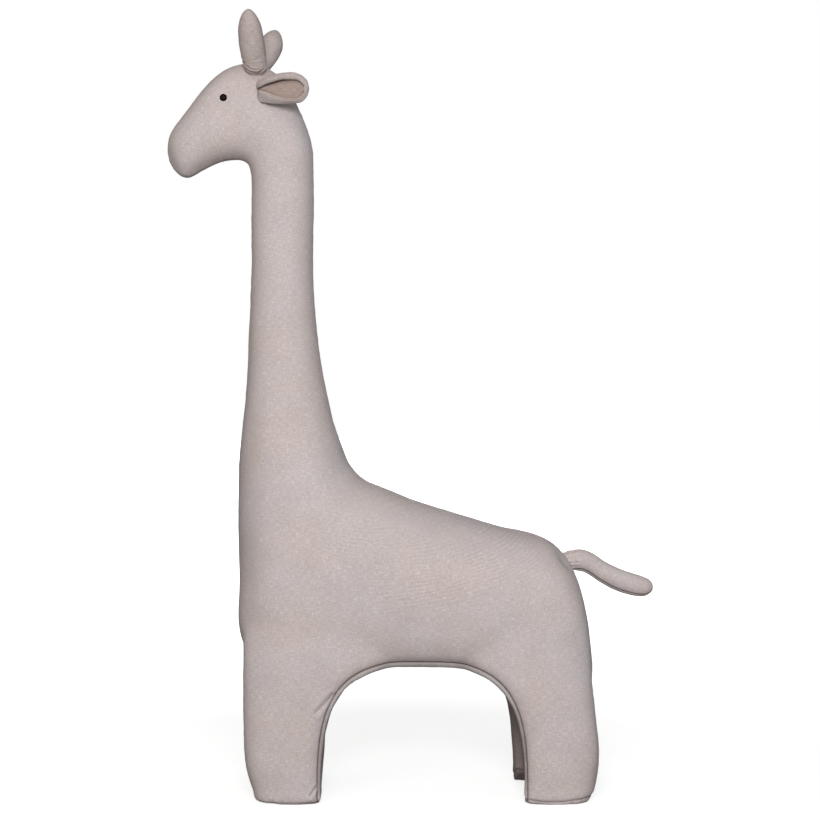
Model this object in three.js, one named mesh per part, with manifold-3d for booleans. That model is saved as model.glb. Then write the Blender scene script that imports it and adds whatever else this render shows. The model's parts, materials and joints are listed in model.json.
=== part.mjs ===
// A soft standing giraffe, about 1 m tall: a sewn linen cover over fibre stuffing, on a bent wire armature.
// Millimetres. The animal faces -X, its left side is -Y, and it stands on the floor at Z = 0.
// The origin is on the floor, on the sagittal plane, midway between the muzzle and the tip of the tail.
import * as THREE from "three";
import { mergeVertices } from "three/addons/utils/BufferGeometryUtils.js";
import Module from "manifold-3d";

const wasm = await Module();
wasm.setup();

// Body, neck and head
const chestReach = 221; // origin to the chest
const bodyLength = 455; // chest to rump
const bodyWidth = 200; // across the flanks
const withersHeight = 405; // floor to the root of the neck
const crotchHeight = 150; // floor to the underside between the legs
const neckBaseDepth = 156.5; // chest to the root of the neck, along X
const neckRise = 398; // withers to throat
const neckDepth = 80; // throat to nape
const neckWidth = 78;
const throatSetback = 14.5; // how far the throat lies behind the chest
const muzzleReach = 107; // throat to the end of the muzzle
const crownRise = 134.5; // throat to the crown
const chinDrop = 14.2; // throat down to the chin
const headWidth = 85;

// Legs and the arch between them
const frontLegDepth = 99; // front face to the arch, at the floor
const hindLegDepth = 90;
const frontLegSetback = 11; // chest to the front face of the leg
const hindLegBulge = 2; // how far the hind leg swells past the rump
const legGap = 40; // between the left and right legs
const legSideInset = 3; // the outer face of a leg, in from the flank
const toeSetback = 29; // how far a foot rounds back at the floor
const archRise = 20; // crotch to the top of the arch
const archSquareness = 3;

// Cover
const clothThickness = 1.5; // linen with its interlining
const seamGap = 0.3; // between pieces that are sewn or lie together
const gussetRim = 5; // how far the gusset turns on to the side of the body round the arch
const gussetPeak = 40; // how far the gusset's points climb the chest and the rump above the crotch
const soleTurnUp = 5; // height of the sole's turned edge
const legTopSlack = 25; // arch side of a leg's stuffing, past the leg's face at the floor
const bellyShare = 0.525; // of the arch's half span, that the belly's stuffing lies over
const overrun = 40; // how far a cutter runs past what it cuts

// Horns
const hornLength = 83; // skin to tip
const hornWidth = 31;
const hornRootRadius = 11;
const hornOpeningShare = 0.25; // of the root's radius, where the horn was filled
const hornSetback = 8; // throat back to the horns' roots
const hornSpacing = 50; // root to root
const hornSplay = 26; // degrees out from upright, to each side
const leftHornLean = -7; // degrees: forwards is negative
const rightHornLean = 14;

// Ears
const earLength = 69;
const earWidth = 41;
const earThickness = 6.4;
const earCup = 9; // depth of the hollow
const earRootRadius = 5; // of the folded cloth at the root
const earSetback = 15; // throat back to the ears' roots
const earRise = 90; // throat up to the ears' roots
const leftEarSweep = 19; // degrees that the ear stands off the side of the head
const leftEarLift = 1; // degrees that the ear points above level
const rightEarSweep = 38;
const rightEarLift = -20;
const liningInset = 6.5; // width of the padded rim round the lining
const liningThickness = 1.5;
const liningDrop = 1.6; // lining's face below the top of the rim

// Eyes
const eyeDiameter = 9.5;
const eyeDome = 3;
const eyeShankDiameter = 3;
const eyeShankLength = 8;
const eyeReach = 30.5; // throat forwards to the eyes
const eyeRise = 84; // throat up to the eyes
const washerDiameter = 14;
const washerThickness = 1.4;
const washerDepth = 3; // below the skin

// Tail
const tailLength = 110.4; // rump to tip
const tailRadius = 14;
const tailRootShare = 0.5725; // of the way up from the crotch to the withers
const tailSag = 36; // root down to the tip
const gatherRadius = 10; // of the drawn-in root

// Armature
const wireDiameter = 6;
const wireEndClearance = 16; // from the wire's ends to the floor
const crossingSlack = 3; // between the wires where they cross, filled by the tape
const wrapRadius = 13; // of the tape wound round each crossing
const wrapLength = 26;

// Fineness of the forms
const trunkSides = 16;
const legSides = 12;
const smallSides = 8;
const seatSides = 12;
const wireSides = 6;
const archSteps = 16;
const wireSteps = 22;
const mergeTolerance = 1e-4;

const mix = THREE.MathUtils.lerp;

// Places that follow from the sizes
const halfWidth = bodyWidth / 2;
const chestX = -chestReach;
const rumpX = chestX + bodyLength;
const withersX = chestX + neckBaseDepth;
const throatX = chestX + throatSetback;
const throatZ = withersHeight + neckRise;
const napeX = throatX + neckDepth;
const tailHeight = mix(crotchHeight, withersHeight, tailRootShare);
const archHeight = crotchHeight + archRise;
const frontFaceX = chestX + frontLegSetback;
const hindFaceX = rumpX + hindLegBulge;
const archFrontX = frontFaceX + frontLegDepth;
const archBackX = hindFaceX - hindLegDepth;
const archCentreX = (archFrontX + archBackX) / 2;
const archHalfSpan = (archBackX - archFrontX) / 2;
const legOuterY = halfWidth - legSideInset;
const legInnerY = legGap / 2;
const legMiddleY = (legOuterY + legInnerY) / 2;
const legHalfWidth = (legOuterY - legInnerY) / 2;
const stuffingInset = clothThickness + seamGap;
const beyond = throatZ + crownRise + overrun; // past every side of the body

const radians = THREE.MathUtils.degToRad;
const alongX = new THREE.Vector3(1, 0, 0);
const alongY = new THREE.Vector3(0, 1, 0);
const alongZ = new THREE.Vector3(0, 0, 1);
const point = (x, z) => new THREE.Vector3(x, 0, z);
const bent = (value, power) => Math.sign(value) * Math.abs(value) ** power;
const span = (one, other) => [Math.min(one, other), Math.max(one, other)];

// A height on the trunk: share 0 is the crotch, 1 the withers and 2 the throat.
const heightAt = (share) =>
  share <= 1 ? mix(crotchHeight, withersHeight, share) : mix(withersHeight, throatZ, share - 1);

// Solids: a geometry becomes a closed solid to cut and join, and the result becomes a geometry again.
function solid(geometry) {
  const bare = geometry.clone();
  bare.deleteAttribute("normal");
  bare.deleteAttribute("uv");
  const merged = mergeVertices(bare, mergeTolerance);
  const triangles = [];
  for (let i = 0; i < merged.index.count; i += 3) {
    const [a, b, c] = merged.index.array.slice(i, i + 3);
    if (a !== b && b !== c && c !== a) triangles.push(a, b, c);
  }
  return new wasm.Manifold(
    new wasm.Mesh({
      numProp: 3,
      vertProperties: merged.attributes.position.array,
      triVerts: new Uint32Array(triangles),
    }),
  );
}

function geometryOf(body) {
  const mesh = body.getMesh();
  const geometry = new THREE.BufferGeometry();
  geometry.setAttribute("position", new THREE.BufferAttribute(mesh.vertProperties, 3));
  geometry.setIndex(new THREE.BufferAttribute(mesh.triVerts, 1));
  return geometry;
}

const joined = (bodies) => bodies.reduce((sum, body) => sum.add(body));

// A closed surface through rings of points, with a point to close each end.
function skin(rings, firstPole, lastPole) {
  const points = [firstPole, ...rings.flat(), lastPole];
  const sides = rings[0].length;
  const last = points.length - 1;
  const index = [];
  const at = (ring, side) => 1 + ring * sides + (side % sides);
  for (let side = 0; side < sides; side++) {
    index.push(0, at(0, side + 1), at(0, side));
    for (let ring = 0; ring < rings.length - 1; ring++) {
      index.push(at(ring, side), at(ring, side + 1), at(ring + 1, side));
      index.push(at(ring, side + 1), at(ring + 1, side + 1), at(ring + 1, side));
    }
    index.push(at(rings.length - 1, side), at(rings.length - 1, side + 1), last);
  }
  const geometry = new THREE.BufferGeometry().setFromPoints(points);
  geometry.setIndex(index);
  return geometry;
}

// A station is a superellipse between an under point and an over point of the side view.
function stationRing({ under, over, width, underSquareness, overSquareness, y = 0 }, sides) {
  return Array.from({ length: sides }, (_, side) => {
    const turn = (2 * Math.PI * side) / sides;
    const power = 2 / (Math.cos(turn) < 0 ? underSquareness : overSquareness);
    const middle = under.clone().lerp(over, (1 + bent(Math.cos(turn), power)) / 2);
    return middle.addScaledVector(alongY, y + width * bent(Math.sin(turn), power));
  });
}

const stationCentre = ({ under, over, y = 0 }) => under.clone().lerp(over, 1 / 2).addScaledVector(alongY, y);

function loft(stations, sides, firstPole, lastPole) {
  return skin(stations.map((station) => stationRing(station, sides)), firstPole, lastPole);
}

// The same surface, moved in along its normals.
function shrunk(geometry, depth) {
  const moved = geometry.clone();
  moved.computeVertexNormals();
  const { position, normal } = moved.attributes;
  const at = new THREE.Vector3();
  const out = new THREE.Vector3();
  for (let i = 0; i < position.count; i++) {
    at.fromBufferAttribute(position, i).addScaledVector(out.fromBufferAttribute(normal, i), -depth);
    position.setXYZ(i, at.x, at.y, at.z);
  }
  return moved;
}

// Cutters: a block that runs past the body wherever no limit is given, and prisms in two directions.
function block({ x = [-beyond, beyond], y = [-beyond, beyond], z = [-beyond, beyond] }) {
  const geometry = new THREE.BoxGeometry(x[1] - x[0], y[1] - y[0], z[1] - z[0]);
  geometry.translate((x[0] + x[1]) / 2, (y[0] + y[1]) / 2, (z[0] + z[1]) / 2);
  return solid(geometry);
}

function prism(outline, length, basis) {
  const path = { depth: length, bevelEnabled: false };
  const geometry = new THREE.ExtrudeGeometry(new THREE.Shape(outline), path);
  geometry.translate(0, 0, -length / 2);
  geometry.applyMatrix4(basis);
  return solid(geometry);
}

const across = new THREE.Matrix4().makeBasis(alongX, alongZ, alongY.clone().negate());
const lengthwise = new THREE.Matrix4().makeBasis(alongY, alongZ, alongX);

// The trunk is one bent tube from the rump, round the withers and up the neck to the muzzle.
// Body behind the withers: share of the back's length, then under, over and width shares, rump first.
const backShares = [
  [0.988, -0.03, 0.18, 0.53],
  [0.968, -0.05, 0.335, 0.7],
  [0.935, -0.05, 0.487, 0.83],
  [0.885, -0.04, 0.58, 0.92],
  [0.805, -0.01, 0.67, 0.965],
  [0.64, 0, 0.738, 0.995],
  [0.43, 0, 0.808, 1],
  [0.23, 0, 0.882, 1],
  [0.1, 0, 0.945, 0.995],
];
const backPoleShare = 0.07;
const backSquareness = [5, 2.4];

// The turn at the withers: under x and height, over x and height, width share, under and over squareness.
const turnShares = [
  [0.934, 0, 1.09, 0.975, 0.985, 4.6, 2.4],
  [0.5, 0.005, 1.02, 0.994, 0.97, 4, 2.4],
  [0.17, 0.05, 0.975, 1.012, 0.945, 3.5, 2.4],
  [0.03, 0.2, 0.938, 1.028, 0.905, 3.2, 2.35],
  [0, 0.42, 0.903, 1.047, 0.83, 2.9, 2.3],
  [0, 0.68, 0.87, 1.073, 0.72, 2.6, 2.25],
  [0, 0.92, 0.838, 1.109, 0.58, 2.35, 2.2],
];

// The neck: under height and share of the throat's setback, over height and share of the withers' reach,
// and width.
const neckShares = [
  [1.07, 0.08, 1.16, 0.468, 0.41],
  [1.19, 0.41, 1.252, 0.322, 0.26],
  [1.33, 0.74, 1.362, 0.17, 0.145],
  [1.52, 0.98, 1.528, 0.045, 0.06],
  [1.701, 1.14, 1.701, 0, 0.015],
  [1.892, 1.17, 1.892, 0, 0],
  [1.97, 1.13, 2.02, 0, 0],
];
const neckSquareness = 2.15;

// The head, from the throat: under x and z, over x and z, width.
// Positive x shares are of the neck's depth and negative ones of the muzzle's reach.
// Positive z shares are of the crown's rise and negative ones of the chin's drop.
const headShares = [
  [0, 0, 0.98, 0.234, 0.93],
  [-0.05, 0.066, 0.86, 0.48, 0.95],
  [-0.13, 0.081, 0.665, 0.72, 0.975],
  [-0.23, 0.077, 0.36, 0.93, 1],
  [-0.337, 0.059, 0, 1, 1],
  [-0.44, 0.028, -0.27, 0.96, 0.985],
  [-0.53, -0.09, -0.5, 0.815, 0.935],
  [-0.61, -0.42, -0.69, 0.63, 0.87],
  [-0.69, -0.78, -0.855, 0.455, 0.785],
  [-0.756, -0.99, -0.952, 0.338, 0.67],
  [-0.82, -0.88, -0.993, 0.241, 0.49],
  [-0.875, -0.57, -1, 0.174, 0.29],
];
const muzzlePoleShares = [-0.975, 0.04];
const headSquareness = 2.2;

const backPoint = (alongShare, heightShare) =>
  point(mix(withersX, rumpX, alongShare), heightAt(heightShare));
const chestPoint = (alongShare, heightShare) =>
  point(mix(chestX, withersX, alongShare), heightAt(heightShare));
const headPoint = (xShare, zShare) =>
  point(
    throatX + xShare * (xShare > 0 ? neckDepth : muzzleReach),
    throatZ + zShare * (zShare > 0 ? crownRise : chinDrop),
  );

const backStations = backShares.map(([along, under, over, width]) => ({
  under: backPoint(along, under),
  over: backPoint(along, over),
  width: width * halfWidth,
  underSquareness: backSquareness[0],
  overSquareness: backSquareness[1],
}));
const turnStations = turnShares.map(([underX, underZ, overX, overZ, width, ...squareness]) => ({
  under: chestPoint(underX, underZ),
  over: chestPoint(overX, overZ),
  width: mix(neckWidth / 2, halfWidth, width),
  underSquareness: squareness[0],
  overSquareness: squareness[1],
}));
const neckStations = neckShares.map(([underZ, setback, overZ, reach, width]) => ({
  under: point(mix(chestX, throatX, setback), heightAt(underZ)),
  over: point(mix(napeX, withersX, reach), heightAt(overZ)),
  width: mix(neckWidth / 2, halfWidth, width),
  underSquareness: neckSquareness,
  overSquareness: neckSquareness,
}));
const headStations = headShares.map(([underX, underZ, overX, overZ, width]) => ({
  under: headPoint(underX, underZ),
  over: headPoint(overX, overZ),
  width: (width * headWidth) / 2,
  underSquareness: headSquareness,
  overSquareness: headSquareness,
}));
const trunkStations = [...backStations, ...turnStations, ...neckStations, ...headStations];
const rumpPole = backPoint(1, backPoleShare);
const trunkForm = loft(trunkStations, trunkSides, rumpPole, headPoint(...muzzlePoleShares));

// Legs, from the floor up: height as a share of the arch's, then what every face draws in as a share of
// the half width, what the toe draws back on a front and on a hind leg, and how far the leg runs on into
// the arch.
const legShares = [
  [0, 0.12, 0.82, 0.95, 0.02],
  [0.018, 0.045, 0.63, 0.72, 0.1],
  [0.07, 0.01, 0.45, 0.36, 0.22],
  [0.16, 0, 0.27, 0.12, 0.25],
  [0.33, 0, 0.06, -0.02, 0.25],
  [0.6, 0, -0.03, 0.01, 0.35],
  [0.86, 0, -0.1, 0.1, 0.7],
  [1.08, 0.03, -0.18, 0.2, 0.85],
  [1.3, 0.15, -0.05, 0.5, 0.75],
  [1.5, 0.4, 0.4, 1, 0.6],
];
const legSquareness = 3.4;

const legKinds = [
  { name: "front_left", forwards: -1, side: -1 },
  { name: "front_right", forwards: -1, side: 1 },
  { name: "hind_left", forwards: 1, side: -1 },
  { name: "hind_right", forwards: 1, side: 1 },
];

// forwards is the way that the leg's outer face looks along X.
function legForm({ forwards, side }) {
  const faceX = forwards > 0 ? hindFaceX : frontFaceX;
  const depth = forwards > 0 ? hindLegDepth : frontLegDepth;
  const stations = legShares.map(([height, drawIn, frontToe, hindToe, archReach]) => {
    const toe = forwards > 0 ? hindToe : frontToe;
    const z = height * archHeight;
    return {
      under: point(faceX - forwards * toe * toeSetback, z),
      over: point(faceX - forwards * depth * (1 + archReach), z),
      width: -forwards * legHalfWidth * (1 - drawIn),
      y: side * legMiddleY,
      underSquareness: legSquareness,
      overSquareness: legSquareness,
    };
  });
  return loft(stations, legSides, stationCentre(stations[0]), stationCentre(stations.at(-1)));
}

// The arch between the front and hind legs, cut through from side to side.
function archCutter(growth) {
  const spanX = archHalfSpan + growth;
  const rise = archHeight + growth;
  const power = 2 / archSquareness;
  const over = Array.from({ length: archSteps + 1 }, (_, step) => {
    const turn = (Math.PI * step) / archSteps;
    const x = archCentreX + spanX * bent(Math.cos(turn), power);
    return new THREE.Vector2(x, rise * Math.abs(Math.sin(turn)) ** power);
  });
  const under = [archCentreX - spanX, archCentreX + spanX].map((x) => new THREE.Vector2(x, -overrun));
  return prism([...over, ...under], bodyWidth + 2 * overrun, across);
}

// The whole body, moved in by a depth.
function bodySolid(depth) {
  const forms = [trunkForm, ...legKinds.map(legForm)].map((form) => solid(shrunk(form, depth)));
  return joined(forms).subtract(archCutter(depth));
}

// The underside's gusset: the inner halves of the legs, the arch with a rim on each side, and a point at
// each end.
function gussetZone(growth) {
  const reach = legMiddleY + growth;
  const shoulder = crotchHeight + growth;
  const tent = [
    [-reach, -overrun],
    [reach, -overrun],
    [reach, shoulder],
    [0, shoulder + gussetPeak],
    [-reach, shoulder],
  ].map(([y, z]) => new THREE.Vector2(y, z));
  return prism(tent, 2 * beyond, lengthwise).add(archCutter(gussetRim + growth));
}

// Zones that split the stuffing. Each is grown by the gap where its neighbour is cut.
function legZone({ forwards, side }, growth) {
  const innerX = forwards > 0 ? archBackX - legTopSlack : archFrontX + legTopSlack;
  return block({
    x: span(innerX - forwards * growth, forwards * beyond),
    y: span(side * (legInnerY - growth), side * beyond),
    z: [-overrun, archHeight + growth],
  });
}

const bellyZone = (growth) => {
  const reach = bellyShare * archHalfSpan + growth;
  return block({ x: [archCentreX - reach, archCentreX + reach] });
};

function headZone(growth) {
  const chin = { x: [-beyond, throatX + growth], z: [throatZ - 2 * chinDrop - growth, beyond] };
  return block({ z: [throatZ - growth, beyond] }).add(block(chin));
}

// Where a line meets the body's skin, with the outward normal there.
const skinTarget = new THREE.Mesh(trunkForm);
function skinPlace(from, direction) {
  const hit = new THREE.Raycaster(from, direction).intersectObject(skinTarget)[0];
  return { at: hit.point, out: hit.face.normal };
}

// The centre of a round root that rests on the skin.
const rootPlace = ({ at, out }, radius) => ({ at: at.clone().addScaledVector(out, radius + seamGap), out });

// Armature: a spine and two hoops that stand in the legs, crossing over the spine.
// The spine stops short of the rump and of the muzzle by these numbers of stations.
const rumpStationsFree = 4;
const muzzleStationsFree = 7;
const spinePoints = trunkStations.slice(rumpStationsFree, -muzzleStationsFree).map(stationCentre);
const spineCurve = new THREE.CatmullRomCurve3(spinePoints);
const crossingRise = wireDiameter + crossingSlack;

function crossingAt(x) {
  const places = spineCurve.getPoints(spinePoints.length * wireSteps);
  return places.reduce((best, place) => (Math.abs(place.x - x) < Math.abs(best.x - x) ? place : best));
}

// A hoop's leg: share of the way from the leg to the crossing, share of the leg's place across, and
// height share.
const hoopShares = [
  [0, 1, 0.5],
  [0, 1, 1],
  [0.5, 0.8, 1.55],
];

function hoopCurve(crossing, x) {
  const foot = new THREE.Vector3(x, legMiddleY, wireEndClearance);
  const bends = hoopShares.map(([along, out, height]) => {
    const rise = height <= 1 ? height * crotchHeight : mix(crotchHeight, crossing.z, height - 1);
    return new THREE.Vector3(mix(x, crossing.x, along), out * legMiddleY, rise);
  });
  const half = [foot, ...bends];
  const mirrored = half.map(({ x: px, y, z }) => new THREE.Vector3(px, -y, z));
  const top = new THREE.Vector3(crossing.x, 0, crossing.z + crossingRise);
  return new THREE.CatmullRomCurve3([...mirrored, top, ...half.reverse()]);
}

const frontWireX = (frontFaceX + toeSetback / 2 + archFrontX) / 2;
const hindWireX = (hindFaceX - toeSetback / 2 + archBackX) / 2;
const frontCrossing = crossingAt(archFrontX);
const hindCrossing = crossingAt(archBackX);
const wireCurves = {
  spine_wire: spineCurve,
  front_leg_wire: hoopCurve(frontCrossing, frontWireX),
  hind_leg_wire: hoopCurve(hindCrossing, hindWireX),
};

function wire(curve, growth) {
  const radius = wireDiameter / 2 + growth;
  const section = Array.from({ length: wireSides }, (_, side) => {
    const turn = (2 * Math.PI * side) / wireSides;
    return new THREE.Vector2(radius * Math.cos(turn), radius * Math.sin(turn));
  });
  const path = { steps: wireSteps, extrudePath: curve };
  return solid(new THREE.ExtrudeGeometry(new THREE.Shape(section), path));
}

// The tape round a crossing lies along the spine.
function wrapForm(crossing, growth) {
  const radius = wrapRadius + growth;
  const geometry = new THREE.CylinderGeometry(radius, radius, wrapLength + 2 * growth, smallSides);
  geometry.rotateZ(Math.PI / 2);
  geometry.translate(crossing.x, 0, crossing.z + crossingRise / 2);
  return solid(geometry);
}

// Small pieces that stand on the skin are made along +Z from a root at zero, and turned to their place.
function turned(profile) {
  const outline = profile.map(([radius, height]) => new THREE.Vector2(radius, height));
  const geometry = new THREE.LatheGeometry(outline, smallSides);
  geometry.rotateX(Math.PI / 2);
  return geometry;
}

function stand(profile, at, direction) {
  const placed = turned(profile);
  placed.applyQuaternion(new THREE.Quaternion().setFromUnitVectors(alongZ, direction));
  placed.translate(at.x, at.y, at.z);
  return solid(placed);
}

// A ball with a pole that looks along a direction, where it meets a flat face at its full radius.
function ball(radius, at, direction, sides = smallSides) {
  const geometry = new THREE.SphereGeometry(radius, sides, sides / 2);
  geometry.applyQuaternion(new THREE.Quaternion().setFromUnitVectors(alongY, direction));
  geometry.translate(at.x, at.y, at.z);
  return solid(geometry);
}

const rod = (radius, low, high) => [[0, low], [radius, low], [radius, high], [0, high]];

// Horn: radius shares of half the width, against height shares from the root's centre to the tip.
const hornShares = [
  [0.84, 0.12],
  [0.97, 0.36],
  [1, 0.58],
  [0.88, 0.79],
  [0.56, 0.945],
];

function hornProfile(depth) {
  const height = hornLength - hornRootRadius - seamGap - depth;
  const side = hornShares.map(([out, up]) => [(out * hornWidth) / 2 - depth, up * height]);
  return [[0, 0], [hornRootRadius - depth, 0], ...side, [0, height]];
}

function hornPlace(side) {
  const above = new THREE.Vector3(throatX + hornSetback, (side * hornSpacing) / 2, beyond);
  return rootPlace(skinPlace(above, alongZ.clone().negate()), hornRootRadius);
}

function hornDirection(side, lean) {
  return new THREE.Vector3(Math.tan(radians(lean)), side * Math.tan(radians(hornSplay)), 1).normalize();
}

// Ear: a leaf along +X from its root, cupped towards the side that it faces.
// Length share, half width share and cup share.
const earShares = [
  [0.04, 0.42, 0],
  [0.13, 0.62, 0.25],
  [0.26, 0.86, 0.6],
  [0.42, 1, 0.95],
  [0.58, 1, 1],
  [0.74, 0.86, 0.9],
  [0.87, 0.62, 0.6],
  [0.96, 0.33, 0.3],
];

// low and high are the faces' heights over the leaf's middle surface, and inset narrows the leaf all round.
// raise lifts the upper face alone, for a pocket that is open on that side.
function earForm(inset, low, high, raise = 0) {
  const middle = (low + high) / 2;
  const thickness = (high - low) / 2;
  const halfEar = earWidth / 2;
  const rings = earShares.map(([along, width, cup]) =>
    Array.from({ length: smallSides }, (_, step) => {
      const turn = (2 * Math.PI * step) / smallSides;
      const out = Math.cos(turn) * width * (halfEar - inset);
      const lift = cup * earCup * (out / halfEar) ** 2 + middle + thickness * Math.sin(turn);
      const upper = step > 0 && step < smallSides / 2;
      return new THREE.Vector3(mix(inset, earLength - inset, along), out, lift + (upper ? raise : 0));
    }),
  );
  return skin(rings, point(inset, middle), point(earLength - inset, middle));
}

// The ear's own directions: it runs back from the head, and faces out to its side.
function earDirections(side, sweep, lift) {
  const level = Math.cos(radians(lift));
  const run = new THREE.Vector3(
    Math.cos(radians(sweep)) * level,
    side * Math.sin(radians(sweep)) * level,
    Math.sin(radians(lift)),
  );
  const facing = new THREE.Vector3(0, side, 0).addScaledVector(run, -side * run.y).normalize();
  return { run, facing, rise: facing.clone().cross(run) };
}

function earPlace(side) {
  const from = new THREE.Vector3(throatX + earSetback, side * beyond, throatZ + earRise);
  return rootPlace(skinPlace(from, new THREE.Vector3(0, -side, 0)), earRootRadius);
}

// Eye: a dome on the skin, with a shank that holds it through the cover and into a washer.
const domeAngles = [0, 30, 60, 90];
const eyeProfile = [
  [0, -eyeShankLength],
  [eyeShankDiameter / 2, -eyeShankLength],
  [eyeShankDiameter / 2, seamGap],
  ...domeAngles.map((angle) => [
    angle < 90 ? (eyeDiameter / 2) * Math.cos(radians(angle)) : 0,
    seamGap + eyeDome * Math.sin(radians(angle)),
  ]),
];
const shankHole = rod(eyeShankDiameter / 2 + seamGap, -eyeShankLength - seamGap, overrun);
const washerDisc = (growth) =>
  rod(washerDiameter / 2 + growth, -washerDepth - washerThickness - growth, growth - washerDepth);

// Tail: length share, sag share and radius share, from the root's centre to the tip.
const tailShares = [
  [0, 0, 0.66],
  [0.1, 0.02, 0.8],
  [0.25, 0.15, 0.96],
  [0.45, 0.5, 1],
  [0.7, 0.84, 0.95],
  [0.88, 0.95, 0.78],
  [0.965, 0.99, 0.48],
];

function tailForm(depth) {
  const run = tailLength - gatherRadius;
  const stations = tailShares.map(([along, sag, radius]) => {
    const centre = point(along * run, -sag * tailSag);
    const reach = radius * tailRadius - depth;
    return {
      under: centre.clone().addScaledVector(alongZ, -reach),
      over: centre.clone().addScaledVector(alongZ, reach),
      width: -reach,
      underSquareness: 2,
      overSquareness: 2,
    };
  });
  return solid(loft(stations, smallSides, point(0, 0), point(run - depth, -tailSag)));
}

// Materials
const finish = (colour, roughness, metalness = 0) =>
  new THREE.MeshStandardMaterial({ color: new THREE.Color(colour), roughness, metalness });
const linen = () => finish("#c4b7b4", 0.95);
const liningCloth = () => finish("#a8928a", 0.95);
const fibre = () => finish("#f2f0ea", 1);
const glossBlack = () => finish("#120c0b", 0.12);
const washerNylon = () => finish("#e6e2d8", 0.6);
const steelWire = () => finish("#8f9296", 0.35, 1);
const tape = () => finish("#d8cfb8", 0.8);

const toy = new THREE.Group();
function add(name, body, material, parent = toy) {
  const mesh = new THREE.Mesh(geometryOf(body), material);
  mesh.name = name;
  parent.add(mesh);
  return mesh;
}

const sides = [
  { name: "left", side: -1, lean: leftHornLean, sweep: leftEarSweep, lift: leftEarLift },
  { name: "right", side: 1, lean: rightHornLean, sweep: rightEarSweep, lift: rightEarLift },
];
const eyePlaces = sides.map(({ side }) => {
  const from = new THREE.Vector3(throatX - eyeReach, side * beyond, throatZ + eyeRise);
  return skinPlace(from, new THREE.Vector3(0, -side, 0));
});
const atEyes = (profile) => joined(eyePlaces.map(({ at, out }) => stand(profile, at, out)));
const shankHoles = atEyes(shankHole);

// Cover
const cover = bodySolid(0).subtract(bodySolid(clothThickness)).subtract(shankHoles);
const aboveSoles = cover.subtract(block({ z: [-overrun, soleTurnUp + seamGap] }));
const sidePanels = aboveSoles.subtract(gussetZone(seamGap));
for (const { name, side } of sides) {
  const half = block({ y: span((side * seamGap) / 2, side * beyond) });
  add(`side_panel_${name}`, sidePanels.intersect(half), linen());
}
add("underside_gusset", aboveSoles.intersect(gussetZone(0)), linen());
for (const { name, forwards, side } of legKinds) {
  const corner = block({
    x: span(archCentreX, forwards * beyond),
    y: span(0, side * beyond),
    z: [-overrun, soleTurnUp],
  });
  add(`sole_${name}`, cover.intersect(corner), linen());
}

// Stuffing, with channels for the armature and pockets for the eyes' washers
const crossings = { front: frontCrossing, hind: hindCrossing };
const wireChannels = joined(Object.values(wireCurves).map((curve) => wire(curve, seamGap)));
const wrapChannels = joined(Object.values(crossings).map((crossing) => wrapForm(crossing, seamGap)));
const stuffing = bodySolid(stuffingInset)
  .subtract(wireChannels)
  .subtract(wrapChannels)
  .subtract(shankHoles)
  .subtract(atEyes(washerDisc(seamGap)));
const legZones = joined(legKinds.map((kind) => legZone(kind, seamGap)));
const aboveWithers = (gap) => block({ z: [withersHeight + gap, beyond] });
const torso = stuffing.subtract(legZones).subtract(aboveWithers(0));
const torsoEnds = torso.subtract(bellyZone(seamGap));
add("stuffing_belly", torso.intersect(bellyZone(0)), fibre());
add("stuffing_chest", torsoEnds.intersect(block({ x: [-beyond, archCentreX] })), fibre());
add("stuffing_rump", torsoEnds.intersect(block({ x: [archCentreX, beyond] })), fibre());
add("stuffing_neck", stuffing.intersect(aboveWithers(seamGap)).subtract(headZone(seamGap)), fibre());
add("stuffing_head", stuffing.intersect(headZone(0)), fibre());
for (const kind of legKinds) {
  add(`stuffing_leg_${kind.name}`, stuffing.intersect(legZone(kind, 0)), fibre());
}

// Armature
for (const [name, curve] of Object.entries(wireCurves)) {
  add(name, wire(curve, 0), steelWire());
}
for (const [name, crossing] of Object.entries(crossings)) {
  add(`wire_tape_${name}`, wrapForm(crossing, 0).subtract(wireChannels), tape());
}

// Eyes
sides.forEach(({ name }, i) => {
  const { at, out } = eyePlaces[i];
  add(`eye_${name}`, stand(eyeProfile, at, out), glossBlack());
  add(`eye_washer_${name}`, stand(washerDisc(0), at, out).subtract(shankHoles), washerNylon());
});

// Horns: each cover is open at its root, where it was filled and sewn down.
for (const { name, side, lean } of sides) {
  const { at, out } = hornPlace(side);
  const direction = hornDirection(side, lean);
  const [outer, inner, core] = [0, clothThickness, stuffingInset].map((depth) =>
    stand(hornProfile(depth), at, direction).add(ball(hornRootRadius - depth, at, out)),
  );
  const opening = stand(rod(hornOpeningShare * hornRootRadius, -overrun, 0), at, direction);
  add(`horn_cover_${name}`, outer.subtract(inner).subtract(opening), linen());
  add(`horn_stuffing_${name}`, core, fibre());
}

// Ears
for (const { name, side, sweep, lift } of sides) {
  const { run, facing, rise } = earDirections(side, sweep, lift);
  const { at, out } = earPlace(side);
  const frame = new THREE.Matrix4().makeBasis(run, rise, facing).setPosition(at);
  const placed = (form) => solid(form.applyMatrix4(frame));
  const top = earThickness / 2;
  const liningTop = top - liningDrop;
  const liningLow = liningTop - liningThickness;
  const pocket = placed(earForm(liningInset - seamGap, liningLow - seamGap, liningTop + seamGap, overrun));
  const leaf = placed(earForm(0, -top, top)).add(ball(earRootRadius, at, out));
  add(`ear_${name}`, leaf.subtract(pocket), linen());
  add(`ear_lining_${name}`, placed(earForm(liningInset, liningLow, liningTop)), liningCloth());
}

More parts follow.
